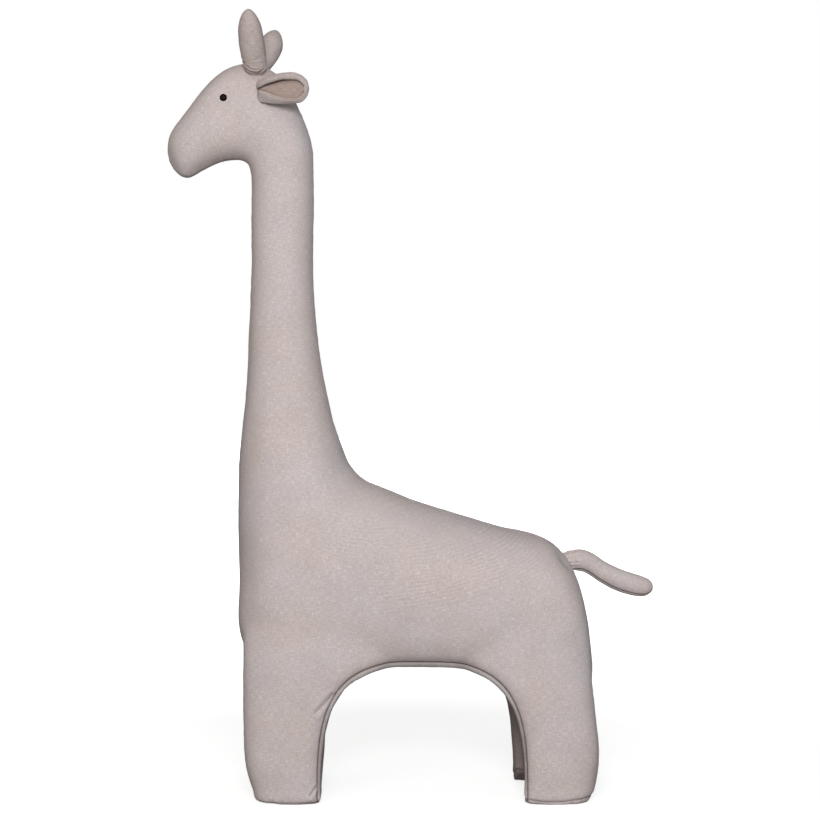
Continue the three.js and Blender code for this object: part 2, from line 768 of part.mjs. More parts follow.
// Tail: its cover and stuffing turn on the gathered root, in a seat whose flats clear the root all round.
const rump = skinPlace(new THREE.Vector3(beyond, 0, tailHeight), alongX.clone().negate());
const tailGroup = new THREE.Group();
tailGroup.position.copy(rump.at).addScaledVector(alongX, (gatherRadius + seamGap) / rump.out.x);
toy.add(tailGroup);
const seatRadius = (gatherRadius + seamGap) / Math.cos(Math.PI / seatSides) ** 2;
const seat = ball(seatRadius, point(0, 0), rump.out, seatSides);
add("tail_root", ball(gatherRadius, point(0, 0), rump.out), linen(), tailGroup);
add("tail_cover", tailForm(0).subtract(tailForm(clothThickness)).subtract(seat), linen(), tailGroup);
add("tail_stuffing", tailForm(stuffingInset).subtract(seat), fibre(), tailGroup);

export default toy;
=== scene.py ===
"""A standing plush giraffe in greige linen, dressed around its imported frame.
Metres throughout. The animal faces -X, its left side is -Y, and it stands on the floor at Z = 0."""
import json
import math

import bmesh
import bpy
import numpy as np
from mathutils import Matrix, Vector


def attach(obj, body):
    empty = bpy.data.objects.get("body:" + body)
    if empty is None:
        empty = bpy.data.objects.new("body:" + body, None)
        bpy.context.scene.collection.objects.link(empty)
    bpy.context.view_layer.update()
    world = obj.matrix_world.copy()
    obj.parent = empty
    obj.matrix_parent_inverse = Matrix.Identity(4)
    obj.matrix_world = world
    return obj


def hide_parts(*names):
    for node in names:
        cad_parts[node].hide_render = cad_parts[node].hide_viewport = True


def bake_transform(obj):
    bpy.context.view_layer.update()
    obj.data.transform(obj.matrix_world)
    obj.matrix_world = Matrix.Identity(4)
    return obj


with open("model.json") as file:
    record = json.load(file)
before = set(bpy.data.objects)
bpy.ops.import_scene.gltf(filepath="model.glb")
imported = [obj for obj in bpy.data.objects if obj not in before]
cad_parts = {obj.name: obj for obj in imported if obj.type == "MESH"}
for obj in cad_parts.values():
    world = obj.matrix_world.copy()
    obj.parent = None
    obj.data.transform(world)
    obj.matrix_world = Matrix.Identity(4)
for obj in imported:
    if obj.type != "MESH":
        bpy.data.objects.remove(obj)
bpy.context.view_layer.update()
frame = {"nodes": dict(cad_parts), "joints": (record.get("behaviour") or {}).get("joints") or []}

MM = 0.001

# Camera: a pure side view from the animal's left
CAMERA_DISTANCE = 2.4
CAMERA_HEIGHT = 0.4902
FOCAL_PIXELS = 1858.6
PICTURE_WIDTH = 820
SENSOR_WIDTH = 36.0

# Body, neck and head, as the frame has them
CHEST_REACH = 0.221
BODY_LENGTH = 0.455
BODY_WIDTH = 0.2
WITHERS_HEIGHT = 0.405
CROTCH_HEIGHT = 0.15
NECK_BASE_DEPTH = 0.1565
NECK_RISE = 0.398
NECK_DEPTH = 0.08
NECK_WIDTH = 0.078
THROAT_SETBACK = 0.0145
MUZZLE_REACH = 0.107
CROWN_RISE = 0.1345
CHIN_DROP = 0.0142
HEAD_WIDTH = 0.085

# Legs and the arch between them
FRONT_LEG_DEPTH = 0.099
HIND_LEG_DEPTH = 0.09
FRONT_LEG_SETBACK = 0.011
HIND_LEG_BULGE = 0.002
LEG_GAP = 0.04
LEG_SIDE_INSET = 0.003
TOE_SETBACK = 0.029
ARCH_RISE = 0.0172
ARCH_SQUARENESS = 3.25
RUMP_EASE = 0.0022  # by which the rump falls short of its full length
ARCH_SHIFT = 0.002
ARCH_CROWN = 0.0008  # how far the gusset bulges into the arch between its two seams
FAR_HIND_SHIFT = 0.006  # how much further forward the right hind leg stands
FAR_FRONT_SHIFT = 0.0085
FAR_SOLE_LIFT = (0.016, 0.004)  # rounding of the right soles towards the middle, hind and front
NEAR_TWIST = 0.004  # by which the left hind leg's inner side stands further back

# Seams
ARCH_SEAM_RISE = 0.0065  # seam on the side of the body, over the arch's edge
ARCH_SEAM_REACH = 0.0014  # the same, beside the legs
GUSSET_PEAK = 0.04
SOLE_SEAM_HEIGHT = 0.0016
SEAM_DEPTHS = (0.0007, 0.0006, 0.0018, 0.0012)  # centre, leg faces, arch and soles
SEAM_WIDTH = 0.0014
SEAM_PILLOW = 0.0005
SEAM_PILLOW_WIDTH = 0.007
ARCH_TUCK = 0.0045  # what the seams draw the sides in, beside the arch
ARCH_TUCK_WIDTH = 0.02
TAIL_RING = (0.2955, 0.0136)  # height of the centre and radius of the stitches round the tail
SEAM_BAND = 0.006  # on each side of a seam, where the skin is made finer
FAR = 1.0  # the distance kept for a seam that doesn't run at a point

# Fineness of the body's skin
TRUNK_RINGS = 190
TRUNK_SIDES = 96
LEG_RINGS = 64
LEG_SIDES = 72
CAP_RINGS = 7
ARCH_STEPS = 96
ARCH_SLICES = 33
CUTTER_OVERRUN = 0.03
VOXEL = 0.0045
ROUNDING_ROUNDS = 8
ROUNDING_FACTOR = 0.5
SOLE_SHARPNESS = 0.85  # share of the soles' own edges that the rounding leaves

# Cloth simulation that fills the skin
STUFFING_CLOTH = {
    "quality": 5,
    "mass": 0.4,
    "tension_stiffness": 25,
    "compression_stiffness": 25,
    "shear_stiffness": 10,
    "bending_stiffness": 2,
    "use_pressure": True,
    "uniform_pressure_force": 4.0,
    "vertex_group_mass": "seams",
}
STUFFING_PINNED = 0.05  # share from which a seam holds a point
STUFFING_FRAMES = 20
STUFFING_CAP = 0.003  # the furthest that a point may move
STUFFING_ROUNDS = 14  # that even out how far the points moved

HALF_WIDTH = BODY_WIDTH / 2
CHEST_X = -CHEST_REACH
RUMP_X = CHEST_X + BODY_LENGTH
WITHERS_X = CHEST_X + NECK_BASE_DEPTH
THROAT_X = CHEST_X + THROAT_SETBACK
THROAT_Z = WITHERS_HEIGHT + NECK_RISE
NAPE_X = THROAT_X + NECK_DEPTH
ARCH_HEIGHT = CROTCH_HEIGHT + ARCH_RISE
FRONT_FACE_X = CHEST_X + FRONT_LEG_SETBACK
HIND_FACE_X = RUMP_X + HIND_LEG_BULGE
ARCH_FRONT_X = FRONT_FACE_X + FRONT_LEG_DEPTH
ARCH_BACK_X = HIND_FACE_X - HIND_LEG_DEPTH
ARCH_CENTRE_X = (ARCH_FRONT_X + ARCH_BACK_X) / 2 - ARCH_SHIFT
ARCH_HALF_SPAN = (ARCH_BACK_X - ARCH_FRONT_X) / 2
LEG_OUTER_Y = HALF_WIDTH - LEG_SIDE_INSET
LEG_INNER_Y = LEG_GAP / 2
LEG_MIDDLE_Y = (LEG_OUTER_Y + LEG_INNER_Y) / 2
LEG_HALF_WIDTH = (LEG_OUTER_Y - LEG_INNER_Y) / 2

SIDES = {"left": -1, "right": 1}

# Horns: their own turn about the root, and the skin's place below the root's centre
HORN_SPLAY = 26.0
HORN_LEAN = {"left": -7.0, "right": 17.0}
HORN_BOW = {"left": -0.0015, "right": 0.0008}
HORN_LENGTH = 0.0717  # root's centre to the tip
HORN_FOOT = 0.0125  # root's centre down to the skin
HORN_SUNK = 0.005
HORN_RADIUS = 0.0153
HORN_TIP = 0.029  # length of the rounded tip
HORN_SIDES = 120
HORN_SEAM_TURN = 18.0
HORN_TUCK = 0.008  # what the stitches draw in on the horn's outer side, at its foot
HORN_SMILE = 0.0065  # how much lower the folds run on that side than beside it
HORN_FOLDS_START = 0.0035  # height on that side from which the folds' heights count
HORN_FOLDS_DEPTH = 1.9  # in millimetres, of a fold whose depth in the table is 1
HORN_FOLD_WIDTH = 0.0011
HORN_GROOVE = (0.0004, 0.0011)  # depth and half width of the groove along the horn's seam

# Ears: from just before the root to the tip, and the half width that the shares count in
EAR_LENGTH = 0.0725
EAR_START = -0.0055
EAR_HALF_WIDTH = 0.0205
EAR_DENT = 0.003  # notch in the end at the root, where the two rims meet
EAR_TURNS = {"left": (19.0, 1.0), "right": (41.0, -25.0)}  # sweep off the head, and lift
EAR_SIDES = 112
EAR_RINGS = 90
LINING_THICKNESS = 0.0011
LINING_SPAN = (0.05, 0.925)
LINING_NARROWS = (0.2, 0.74)  # shares before and after which the lining narrows

# Tail
TAIL_SIDES = 96
TAIL_PLEATS = 13

# Eyes: their places on the skin, the ways that they look, and their sizes
EYE_PLACES = {"left": (-0.237, -0.04016, 0.887), "right": (-0.237, 0.040212, 0.887)}
EYE_DIRECTIONS = {"left": (-0.05, -0.992, 0.117), "right": (-0.06, 0.991, 0.119)}
EYE_RADIUS = 0.00475
EYE_DOME = 0.003
EYE_SHANK_RADIUS = 0.0015
EYE_SHANK_LENGTH = 0.008


# What several pieces use

def joint_place(name):
    return [joint["pos_m"] for joint in frame["joints"] if joint["name"] == name][0]


def ring_turns(sides):
    return 2 * math.pi * np.arange(sides) / sides


def mix(a, b, share):
    return a + (b - a) * share


def bent(value, power):
    return np.sign(value) * np.abs(value) ** power


def bump(distance, width):
    """A smooth hill, 1 at no distance."""
    return np.exp(-((distance / width) ** 2))


def ramp(value, low, high):
    """0 below low, 1 above high, smooth between them. high may lie below low."""
    share = np.clip((value - low) / (high - low), 0, 1)
    return share * share * (3 - 2 * share)


def spline(knots, values, places):
    """The natural cubic curve through rows of values at knots, read at places."""
    knots = np.asarray(knots, float)
    values = np.asarray(values, float)
    if values.ndim == 1:
        return spline(knots, values[:, None], places)[:, 0]
    step = np.diff(knots)
    rise = np.diff(values, axis=0) / step[:, None]
    system = np.eye(len(knots))
    target = np.zeros_like(values)
    for i in range(1, len(knots) - 1):
        system[i, i - 1 : i + 2] = step[i - 1], 2 * (step[i - 1] + step[i]), step[i]
        target[i] = 6 * (rise[i] - rise[i - 1])
    bend = np.linalg.solve(system, target)
    i = np.clip(np.searchsorted(knots, places) - 1, 0, len(knots) - 2)
    h = step[i][:, None]
    a = (knots[i + 1] - places)[:, None]
    b = (places - knots[i])[:, None]
    curve = (bend[i] * a**3 + bend[i + 1] * b**3) / (6 * h)
    line = (values[i] / h - bend[i] * h / 6) * a + (values[i + 1] / h - bend[i + 1] * h / 6) * b
    return curve + line


def lumps(points, size, seed):
    """Smooth noise from about -1 to 1, with hills of about that size."""
    cells = 24
    grid = np.random.default_rng(seed).uniform(-1, 1, (cells, cells, cells))
    scaled = points / size
    low = np.floor(scaled).astype(int)
    part = scaled - low
    part = part * part * (3 - 2 * part)
    total = np.zeros(len(points))
    for dx in (0, 1):
        for dy in (0, 1):
            for dz in (0, 1):
                corner = (low + (dx, dy, dz)) % cells
                near = np.abs(1 - np.array((dx, dy, dz)) - part)
                total += near[:, 0] * near[:, 1] * near[:, 2] * grid[tuple(corner.T)]
    return total


# Meshes

def linked(name, data):
    thing = bpy.data.objects.new(name, data)
    bpy.context.scene.collection.objects.link(thing)
    return thing


def piece_from(name, points, faces, smooth=True):
    mesh = bpy.data.meshes.new(name)
    mesh.from_pydata(np.asarray(points).tolist(), [], faces)
    mesh.update()
    piece = linked(name, mesh)
    if smooth:
        mesh.shade_smooth()
    return piece


def ring_faces(rings, sides):
    """Faces of a closed skin: a first pole, rings of points, and a last pole."""
    at = lambda ring, side: 1 + ring * sides + side % sides
    last = 1 + rings * sides
    faces = [(0, at(0, side + 1), at(0, side)) for side in range(sides)]
    for ring in range(rings - 1):
        faces += [
            (at(ring, side), at(ring, side + 1), at(ring + 1, side + 1), at(ring + 1, side))
            for side in range(sides)
        ]
    faces += [(at(rings - 1, side), at(rings - 1, side + 1), last) for side in range(sides)]
    return faces


def skin(name, rings, first_pole, last_pole):
    """A closed skin through an array of rings. Its faces are turned to look outwards."""
    count, sides, _ = rings.shape
    points = np.concatenate([[first_pole], rings.reshape(-1, 3), [last_pole]])
    faces = ring_faces(count, sides)
    corners = np.array([points[list(face[:3])] - points.mean(0) for face in faces])
    if np.linalg.det(corners).sum() < 0:
        faces = [face[::-1] for face in faces]
    return piece_from(name, points, faces)


def swept(name, centres, across, over, radii, sides, push=None):
    """A closed skin round a line of centres, whose ends are its poles. push moves each point outwards.
    across and over are one direction each, or one for each centre."""
    turn = ring_turns(sides)
    across, over = (np.atleast_2d(direction)[:, None, :] for direction in (across, over))
    out = np.cos(turn)[None, :, None] * across + np.sin(turn)[None, :, None] * over
    reach = radii[:, None] if push is None else radii[:, None] + push
    rings = centres[:, None, :] + reach[:, :, None] * out
    return skin(name, rings[1:-1], centres[0], centres[-1])


def closed_curve(corners, count):
    """A smooth closed curve through rows of corners, each row an array of places along a piece."""
    at = np.arange(count) * len(corners) / count
    index = np.floor(at).astype(int)
    part = (at - index)[:, None, None]
    a, b, c, d = (corners[(index + step) % len(corners)] for step in (-1, 0, 1, 2))
    curve = 2 * b + (c - a) * part + (2 * a - 5 * b + 4 * c - d) * part**2
    curve += (3 * b - a - 3 * c + d) * part**3
    return curve / 2


def with_cap(rings, pole, at_start):
    """Adds rings that round the skin off towards a pole."""
    end = rings[0] if at_start else rings[-1]
    centre = end.mean(0)
    turns = (np.arange(1, CAP_RINGS + 1) / (CAP_RINGS + 1)) * math.pi / 2
    extra = np.array([centre + (pole - centre) * math.sin(t) + (end - centre) * math.cos(t) for t in turns])
    return np.concatenate([extra[::-1], rings]) if at_start else np.concatenate([rings, extra])


def rows_of(items, key, width, kind):
    values = np.empty(len(items) * width, kind)
    items.foreach_get(key, values)
    return values.reshape(-1, width)


def points_of(piece):
    return rows_of(piece.data.vertices, "co", 3, float)


def normals_of(piece):
    return rows_of(piece.data.vertices, "normal", 3, np.float32).astype(float)


def edges_of(piece):
    return rows_of(piece.data.edges, "vertices", 2, np.int32)


def set_points(piece, points):
    piece.data.vertices.foreach_set("co", points.astype(np.float32).ravel())
    piece.data.update()


def relaxed(points, edges, rounds, factor):
    """Each point moves towards the mean of its neighbours, some rounds over."""
    count = len(points)
    degree = np.bincount(edges.ravel(), minlength=count)[:, None]
    for _ in range(rounds):
        total = np.stack(
            [
                np.bincount(edges[:, 0], points[edges[:, 1], axis], count)
                + np.bincount(edges[:, 1], points[edges[:, 0], axis], count)
                for axis in range(3)
            ],
            axis=1,
        )
        points = points + factor * (total / degree - points)
    return points


def settle(piece):
    """Applies the modifiers of a piece."""
    graph = bpy.context.evaluated_depsgraph_get()
    mesh = bpy.data.meshes.new_from_object(piece.evaluated_get(graph), depsgraph=graph)
    piece.modifiers.clear()
    old = piece.data
    piece.data = mesh
    bpy.data.meshes.remove(old)
    mesh.name = piece.name
    mesh.shade_smooth()


def assign(thing, settings):
    for key, value in settings.items():
        setattr(thing, key, value)


def modify(piece, kind, **settings):
    """Adds a modifier and applies it."""
    assign(piece.modifiers.new("step", kind), settings)
    settle(piece)


def cut_or_join(piece, other, operation):
    modify(piece, "BOOLEAN", operation=operation, solver="MANIFOLD", object=other)
    bpy.data.objects.remove(other)


def keep_attribute(piece, name, values):
    values = np.asarray(values, np.float32)
    kind, key = ("FLOAT", "value") if values.ndim == 1 else ("FLOAT_VECTOR", "vector")
    attribute = piece.data.attributes.new(name, kind, "POINT")
    attribute.data.foreach_set(key, values.ravel())


def keep_cloth(piece, seams, sole=None):
    """Keeps what the linen's material reads: the place at rest, the share of each plane, and the seams,
    which on the horns and ears also mark the creases where shade is painted.
    """
    points = points_of(piece)
    planes = np.abs(relaxed(normals_of(piece), edges_of(piece), 6, 0.5)) ** 5
    planes /= planes.sum(1, keepdims=True)
    keep_attribute(piece, "rest_place", points)
    keep_attribute(piece, "planes", planes)
    keep_attribute(piece, "seams", np.stack(seams, axis=1))
    keep_attribute(piece, "sole_seam", np.full(len(points), FAR) if sole is None else sole)


def refined(piece, wanted):
    """Halves the edges whose two ends are wanted."""
    mesh = bmesh.new()
    mesh.from_mesh(piece.data)
    edges = [edge for edge in mesh.edges if wanted[edge.verts[0].index] and wanted[edge.verts[1].index]]
    bmesh.ops.subdivide_edges(mesh, edges=edges, cuts=1, use_grid_fill=True)
    mesh.to_mesh(piece.data)
    mesh.free()
    piece.data.shade_smooth()


def wear(piece, material):
    piece.data.materials.clear()
    piece.data.materials.append(material)


# The body's form: a trunk bent from the rump round the withers to the muzzle, and four legs
# Behind the withers: share of the back's length, then under, over and width shares, rump first
BACK_SHARES = [
    (0.988, -0.03, 0.165, 0.53),
    (0.968, -0.05, 0.32, 0.7),
    (0.935, -0.05, 0.488, 0.83),
    (0.885, -0.04, 0.598, 0.92),
    (0.805, -0.01, 0.68, 0.965),
    (0.64, 0, 0.734, 0.995),
    (0.43, 0, 0.803, 1),
    (0.23, 0, 0.877, 1),
    (0.1, 0, 0.939, 0.995),
]
BACK_POLE_SHARE = 0.07
BACK_SQUARENESS = (2.6, 2.4)

# The turn at the withers: under x and height, over x and height, width, under and over squareness
TURN_SHARES = [
    (0.934, 0, 1.09, 0.963, 0.985, 2.7, 2.4),
    (0.5, 0.005, 1.02, 0.983, 0.97, 2.7, 2.4),
    (0.17, 0.05, 0.975, 1.006, 0.945, 2.9, 2.4),
    (0.026, 0.2, 0.938, 1.022, 0.905, 2.9, 2.35),
    (0.012, 0.42, 0.903, 1.043, 0.83, 2.6, 2.3),
    (0.006, 0.68, 0.87, 1.071, 0.72, 2.4, 2.25),
    (0.004, 0.92, 0.838, 1.109, 0.58, 2.3, 2.2),
]

# The neck: under height, share of the throat's setback, over height, share of the withers' reach, width
NECK_SHARES = [
    (1.07, 0.08, 1.16, 0.468, 0.41),
    (1.19, 0.41, 1.252, 0.33, 0.26),
    (1.33, 0.74, 1.362, 0.195, 0.145),
    (1.52, 0.98, 1.528, 0.07, 0.06),
    (1.701, 1.14, 1.701, 0.022, 0.015),
    (1.892, 1.17, 1.892, 0.03, 0),
    (1.97, 1.13, 2.02, 0.03, 0),
]
NECK_SQUARENESS = 2.15

# The head, from the throat: under x and z, over x and z, width
HEAD_SHARES = [
    (0, 0, 1.0, 0.234, 0.93),
    (-0.05, 0.066, 0.86, 0.48, 0.95),
    (-0.13, 0.081, 0.665, 0.72, 0.975),
    (-0.23, 0.077, 0.36, 0.93, 1),
    (-0.337, 0.059, 0, 1, 1),
    (-0.44, 0.028, -0.27, 0.948, 0.985),
    (-0.53, -0.09, -0.5, 0.798, 0.935),
    (-0.61, -0.42, -0.69, 0.612, 0.87),
    (-0.69, -0.83, -0.855, 0.442, 0.785),
    (-0.756, -1.08, -0.952, 0.338, 0.67),
    (-0.82, -0.97, -0.993, 0.241, 0.49),
    (-0.875, -0.57, -1, 0.174, 0.29),
]
MUZZLE_POLE_SHARES = (-0.975, 0.04)
HEAD_SQUARENESS = 2.2

# Legs, from the floor up: height as a share of the arch's, what every face draws in, what the toe draws
# back on a front and on a hind leg, and how far the leg runs on into the arch
LEG_SHARES = [
    (0, 0.05, 0.5, 0.46, 0.06),
    (0.018, 0.02, 0.5, 0.39, 0.12),
    (0.07, 0.01, 0.46, 0.22, 0.22),
    (0.16, 0, 0.27, 0.1, 0.25),
    (0.33, 0, 0.06, -0.02, 0.25),
    (0.6, 0, 0.0, 0.07, 0.35),
    (0.86, 0, -0.02, 0.23, 0.7),
    (1.08, 0.02, -0.02, 0.36, 0.85),
    (1.3, 0.1, 0.08, 0.58, 0.75),
    (1.5, 0.3, 0.5, 1, 0.6),
]
LEG_SQUARENESS = 2.8


def height_at(share):
    """Share 0 is the crotch, 1 the withers and 2 the throat."""
    if share <= 1:
        return mix(CROTCH_HEIGHT, WITHERS_HEIGHT, share)
    return mix(WITHERS_HEIGHT, THROAT_Z, share - 1)


def head_place(x_share, z_share):
    x = THROAT_X + x_share * (NECK_DEPTH if x_share > 0 else MUZZLE_REACH)
    return x, THROAT_Z + z_share * (CROWN_RISE if z_share > 0 else CHIN_DROP)


def trunk_stations():
    """Rows of under x and z, over x and z, half width, under squareness and over squareness."""
    rows = []
    for along, under, over, width in BACK_SHARES:
        x = mix(WITHERS_X, RUMP_X, along)
        rows.append((x, height_at(under), x, height_at(over), width * HALF_WIDTH, *BACK_SQUARENESS))
    for under_x, under_z, over_x, over_z, width, *squareness in TURN_SHARES:
        low = mix(CHEST_X, WITHERS_X, under_x), height_at(under_z)
        high = mix(CHEST_X, WITHERS_X, over_x), height_at(over_z)
        rows.append((*low, *high, mix(NECK_WIDTH / 2, HALF_WIDTH, width), *squareness))
    for under_z, setback, over_z, reach, width in NECK_SHARES:
        low = mix(CHEST_X, THROAT_X, setback), height_at(under_z)
        high = mix(NAPE_X, WITHERS_X, reach), height_at(over_z)
        half = mix(NECK_WIDTH / 2, HALF_WIDTH, width)
        rows.append((*low, *high, half, NECK_SQUARENESS, NECK_SQUARENESS))
    for under_x, under_z, over_x, over_z, width in HEAD_SHARES:
        low, high = head_place(under_x, under_z), head_place(over_x, over_z)
        rows.append((*low, *high, width * HEAD_WIDTH / 2, HEAD_SQUARENESS, HEAD_SQUARENESS))
    return np.array(rows)


def leg_stations(forwards):
    """forwards is the way that the leg's outer face looks along X."""
    face = HIND_FACE_X if forwards > 0 else FRONT_FACE_X
    depth = HIND_LEG_DEPTH if forwards > 0 else FRONT_LEG_DEPTH
    rows = []
    for height, draw_in, front_toe, hind_toe, arch_reach in LEG_SHARES:
        toe = hind_toe if forwards > 0 else front_toe
        z = height * ARCH_HEIGHT
        under = face - forwards * toe * TOE_SETBACK
        over = face - forwards * depth * (1 + arch_reach)
        half = LEG_HALF_WIDTH * (1 - draw_in)
        rows.append((under, z, over, z, half, LEG_SQUARENESS, LEG_SQUARENESS))
    return np.array(rows)


def fine_stations(rows, count):
    steps = np.linalg.norm(np.diff(rows[:, 0:2], axis=0), axis=1)
    steps = (steps + np.linalg.norm(np.diff(rows[:, 2:4], axis=0), axis=1)) / 2
    knots = np.concatenate([[0], np.cumsum(steps)])
    return spline(knots, rows, np.linspace(0, knots[-1], count))


def station_rings(rows, sides, y=0.0):
    turn = ring_turns(sides)
    power = 2 / np.where(np.cos(turn) < 0, rows[:, 5:6], rows[:, 6:7])
    share = (1 + bent(np.cos(turn), power)) / 2
    x = mix(rows[:, 0:1], rows[:, 2:3], share)
    z = mix(rows[:, 1:2], rows[:, 3:4], share)
    return np.stack([x, y + rows[:, 4:5] * bent(np.sin(turn), power), z], axis=-1)


def trunk_piece():
    rings = station_rings(fine_stations(trunk_stations(), TRUNK_RINGS), TRUNK_SIDES)
    rump = np.array([RUMP_X - RUMP_EASE, 0, height_at(BACK_POLE_SHARE)])
    muzzle_x, muzzle_z = head_place(*MUZZLE_POLE_SHARES)
    muzzle = np.array([muzzle_x, 0, muzzle_z])
    rings = with_cap(with_cap(rings, rump, True), muzzle, False)
    return skin("body_cover", rings, rump, muzzle)


def leg_piece(forwards, side):
    rings = station_rings(fine_stations(leg_stations(forwards), LEG_RINGS), LEG_SIDES, side * LEG_MIDDLE_Y)
    return skin("leg", rings, rings[0].mean(0), rings[-1].mean(0))


def arch_cutter():
    """Cuts the arch from side to side, and leaves its middle fuller than its edges."""
    turn = np.linspace(0, math.pi, ARCH_STEPS)
    power = 2 / ARCH_SQUARENESS
    across = np.linspace(-1, 1, ARCH_SLICES)
    rings = []
    for share in across:
        fullness = ARCH_CROWN * (1 - abs(share) ** 4)
        x = ARCH_CENTRE_X + (ARCH_HALF_SPAN - fullness) * bent(np.cos(turn), power)
        z = (ARCH_HEIGHT - fullness) * np.abs(np.sin(turn)) ** power
        foot = [(x[-1], -CUTTER_OVERRUN), (x[0], -CUTTER_OVERRUN)]
        outline = np.concatenate([np.stack([x, z], 1), foot])
        y = share * (HALF_WIDTH + CUTTER_OVERRUN)
        rings.append(np.stack([outline[:, 0], np.full(len(outline), y), outline[:, 1]], 1))
    rings = np.array(rings)
    return skin("arch", rings, rings[0].mean(0), rings[-1].mean(0))


def filled(piece, pinned):
    """Fills the skin with a pressure, held along its seams, and caps how far any point may move."""
    before = points_of(piece)
    group = piece.vertex_groups.new(name="seams")
    for index, weight in enumerate(pinned):
        if weight > STUFFING_PINNED:
            group.add([index], float(weight), "REPLACE")
    cloth = piece.modifiers.new("stuffing", "CLOTH")
    assign(cloth.settings, STUFFING_CLOTH)
    cloth.settings.effector_weights.gravity = 0
    cloth.collision_settings.use_collision = False
    scene = bpy.context.scene
    for number in range(1, STUFFING_FRAMES + 1):
        scene.frame_set(number)
    settle(piece)
    scene.frame_set(1)
    move = points_of(piece) - before
    length = np.linalg.norm(move, axis=1, keepdims=True)
    move *= np.minimum(1, STUFFING_CAP / np.maximum(length, 1e-9))
    set_points(piece, before + relaxed(move, edges_of(piece), STUFFING_ROUNDS, 0.5))
    piece.vertex_groups.clear()


# Seams: the signed distance of each point to each line of stitches, FAR where that seam doesn't run

def to_segment(u, v, a, b):
    along = np.array(b) - np.array(a)
    share = np.clip(((u - a[0]) * along[0] + (v - a[1]) * along[1]) / (along @ along), 0, 1)
    return np.hypot(u - a[0] - share * along[0], v - a[1] - share * along[1])


def arch_distance(x, z, reach, rise):
    """Signed distance to the arch's outline in the side view, grown by reach and rise."""
    u = np.abs(x - ARCH_CENTRE_X) / (ARCH_HALF_SPAN + reach)
    v = np.maximum(z, 0) / (ARCH_HEIGHT + rise)
    p = ARCH_SQUARENESS
    level = (u**p + v**p) ** (1 / p)
    slope = np.hypot(u ** (p - 1) / (ARCH_HALF_SPAN + reach), v ** (p - 1) / (ARCH_HEIGHT + rise))
    return (level - 1) * level ** (p - 1) / np.maximum(slope, 1e-6)


def only_where(runs, distance):
    return np.where(runs, distance, np.where(distance < 0, -FAR, FAR))


def seam_distances(points, normals):
    """To the centre seam, the seams down the legs' faces, the arch's seams and the soles' seams."""
    x, y, z = points.T
    side = np.abs(y)
    peak = CROTCH_HEIGHT + GUSSET_PEAK
    centre = only_where(z > peak, y)
    slanted = to_segment(side, z, (LEG_MIDDLE_Y, CROTCH_HEIGHT), (0, peak))
    upright = to_segment(side, z, (LEG_MIDDLE_Y, 0), (LEG_MIDDLE_Y, CROTCH_HEIGHT))
    line = LEG_MIDDLE_Y * (1 - np.clip((z - CROTCH_HEIGHT) / GUSSET_PEAK, 0, 1))
    ends = np.minimum(slanted, upright) * np.where(side < line, -1, 1)
    front_or_back = (np.abs(normals[:, 0]) > 0.35) & ((x < ARCH_FRONT_X - 0.045) | (x > ARCH_BACK_X + 0.04))
    ends = only_where(front_or_back & (z < peak + 0.01), ends)
    ring = np.hypot(y, z - TAIL_RING[0]) - TAIL_RING[1] + 0.0015 * ramp(z, 0.29, 0.305)
    ends = np.where(x > 0.16, np.where(np.abs(ring) < np.abs(ends), ring, ends), ends)
    outer = (side > LEG_MIDDLE_Y) & (np.abs(normals[:, 1]) > 0.2)
    arch = arch_distance(x, z, ARCH_SEAM_REACH, ARCH_SEAM_RISE)
    arch = only_where(outer & (z > SOLE_SEAM_HEIGHT) & (z < ARCH_HEIGHT + 0.03), arch)
    sole = only_where(z < 0.03, z - sole_seam_height(x))
    return centre, ends, arch, sole


def sole_seam_height(x):
    """Low on the front feet. On the hind feet the sole bulges, most of all under the heel."""
    heel = 0.003 * ramp(x, 0.18, 0.225) + 0.002 * ramp(x, 0.17, 0.145)
    return SOLE_SEAM_HEIGHT + ramp(x, ARCH_CENTRE_X, ARCH_BACK_X) * (0.0022 + heel)


def nearest_seam(seams):
    return np.minimum.reduce(np.abs(seams))


def carve_seams(piece):
    points, normals = points_of(piece), normals_of(piece)
    seams = seam_distances(points, normals)
    nearest = nearest_seam(seams)
    grooves = [depth * bump(distance, SEAM_WIDTH) for depth, distance in zip(SEAM_DEPTHS, seams)]
    pillow = bump(nearest - SEAM_PILLOW_WIDTH, SEAM_PILLOW_WIDTH / 1.6)
    pucker = lumps(points, 0.006, 5) * bump(nearest - 0.004, 0.004) * 0.0003
    push = SEAM_PILLOW * pillow + pucker - np.maximum.reduce(grooves)
    set_points(piece, points + normals * push[:, None])
    return seams


# Creases on a side of the body: which side, the ends in x and z, half width and depth
CREASES = [
    ("left", (-0.1158, 0.1145), (-0.0964, 0.1356), 0.0027, 0.0017),
    ("left", (-0.1239, 0.0108), (-0.1126, 0.0271), 0.0016, 0.002),
    ("left", (-0.203, 0.371), (-0.1879, 0.386), 0.0045, 0.00035),
    ("right", (0.118, 0.118), (0.101, 0.139), 0.0022, 0.001),
    ("right", (-0.119, 0.011), (-0.111, 0.024), 0.0013, 0.0009),
]

# Places where the stitches or the stuffing draw the skin in: place, depth and width. The last five are
# the eyes', the tail's and the horns'
HOLLOWS = [
    ((0.191, -0.044, 0.294), 0.005, 0.014),
    ((0.191, 0.044, 0.294), 0.005, 0.014),
    ((-0.199, -0.038, 0.8256), 0.0016, 0.014),
    ((-0.199, 0.038, 0.8256), 0.0016, 0.014),
    (EYE_PLACES["left"], 0.0012, 0.009),
    (EYE_PLACES["right"], 0.0012, 0.009),
    (joint_place("tail_lift"), 0.0028, 0.015),
    (joint_place("horn_left_lean"), 0.0016, 0.02),
    (joint_place("horn_right_lean"), 0.0016, 0.02),
]


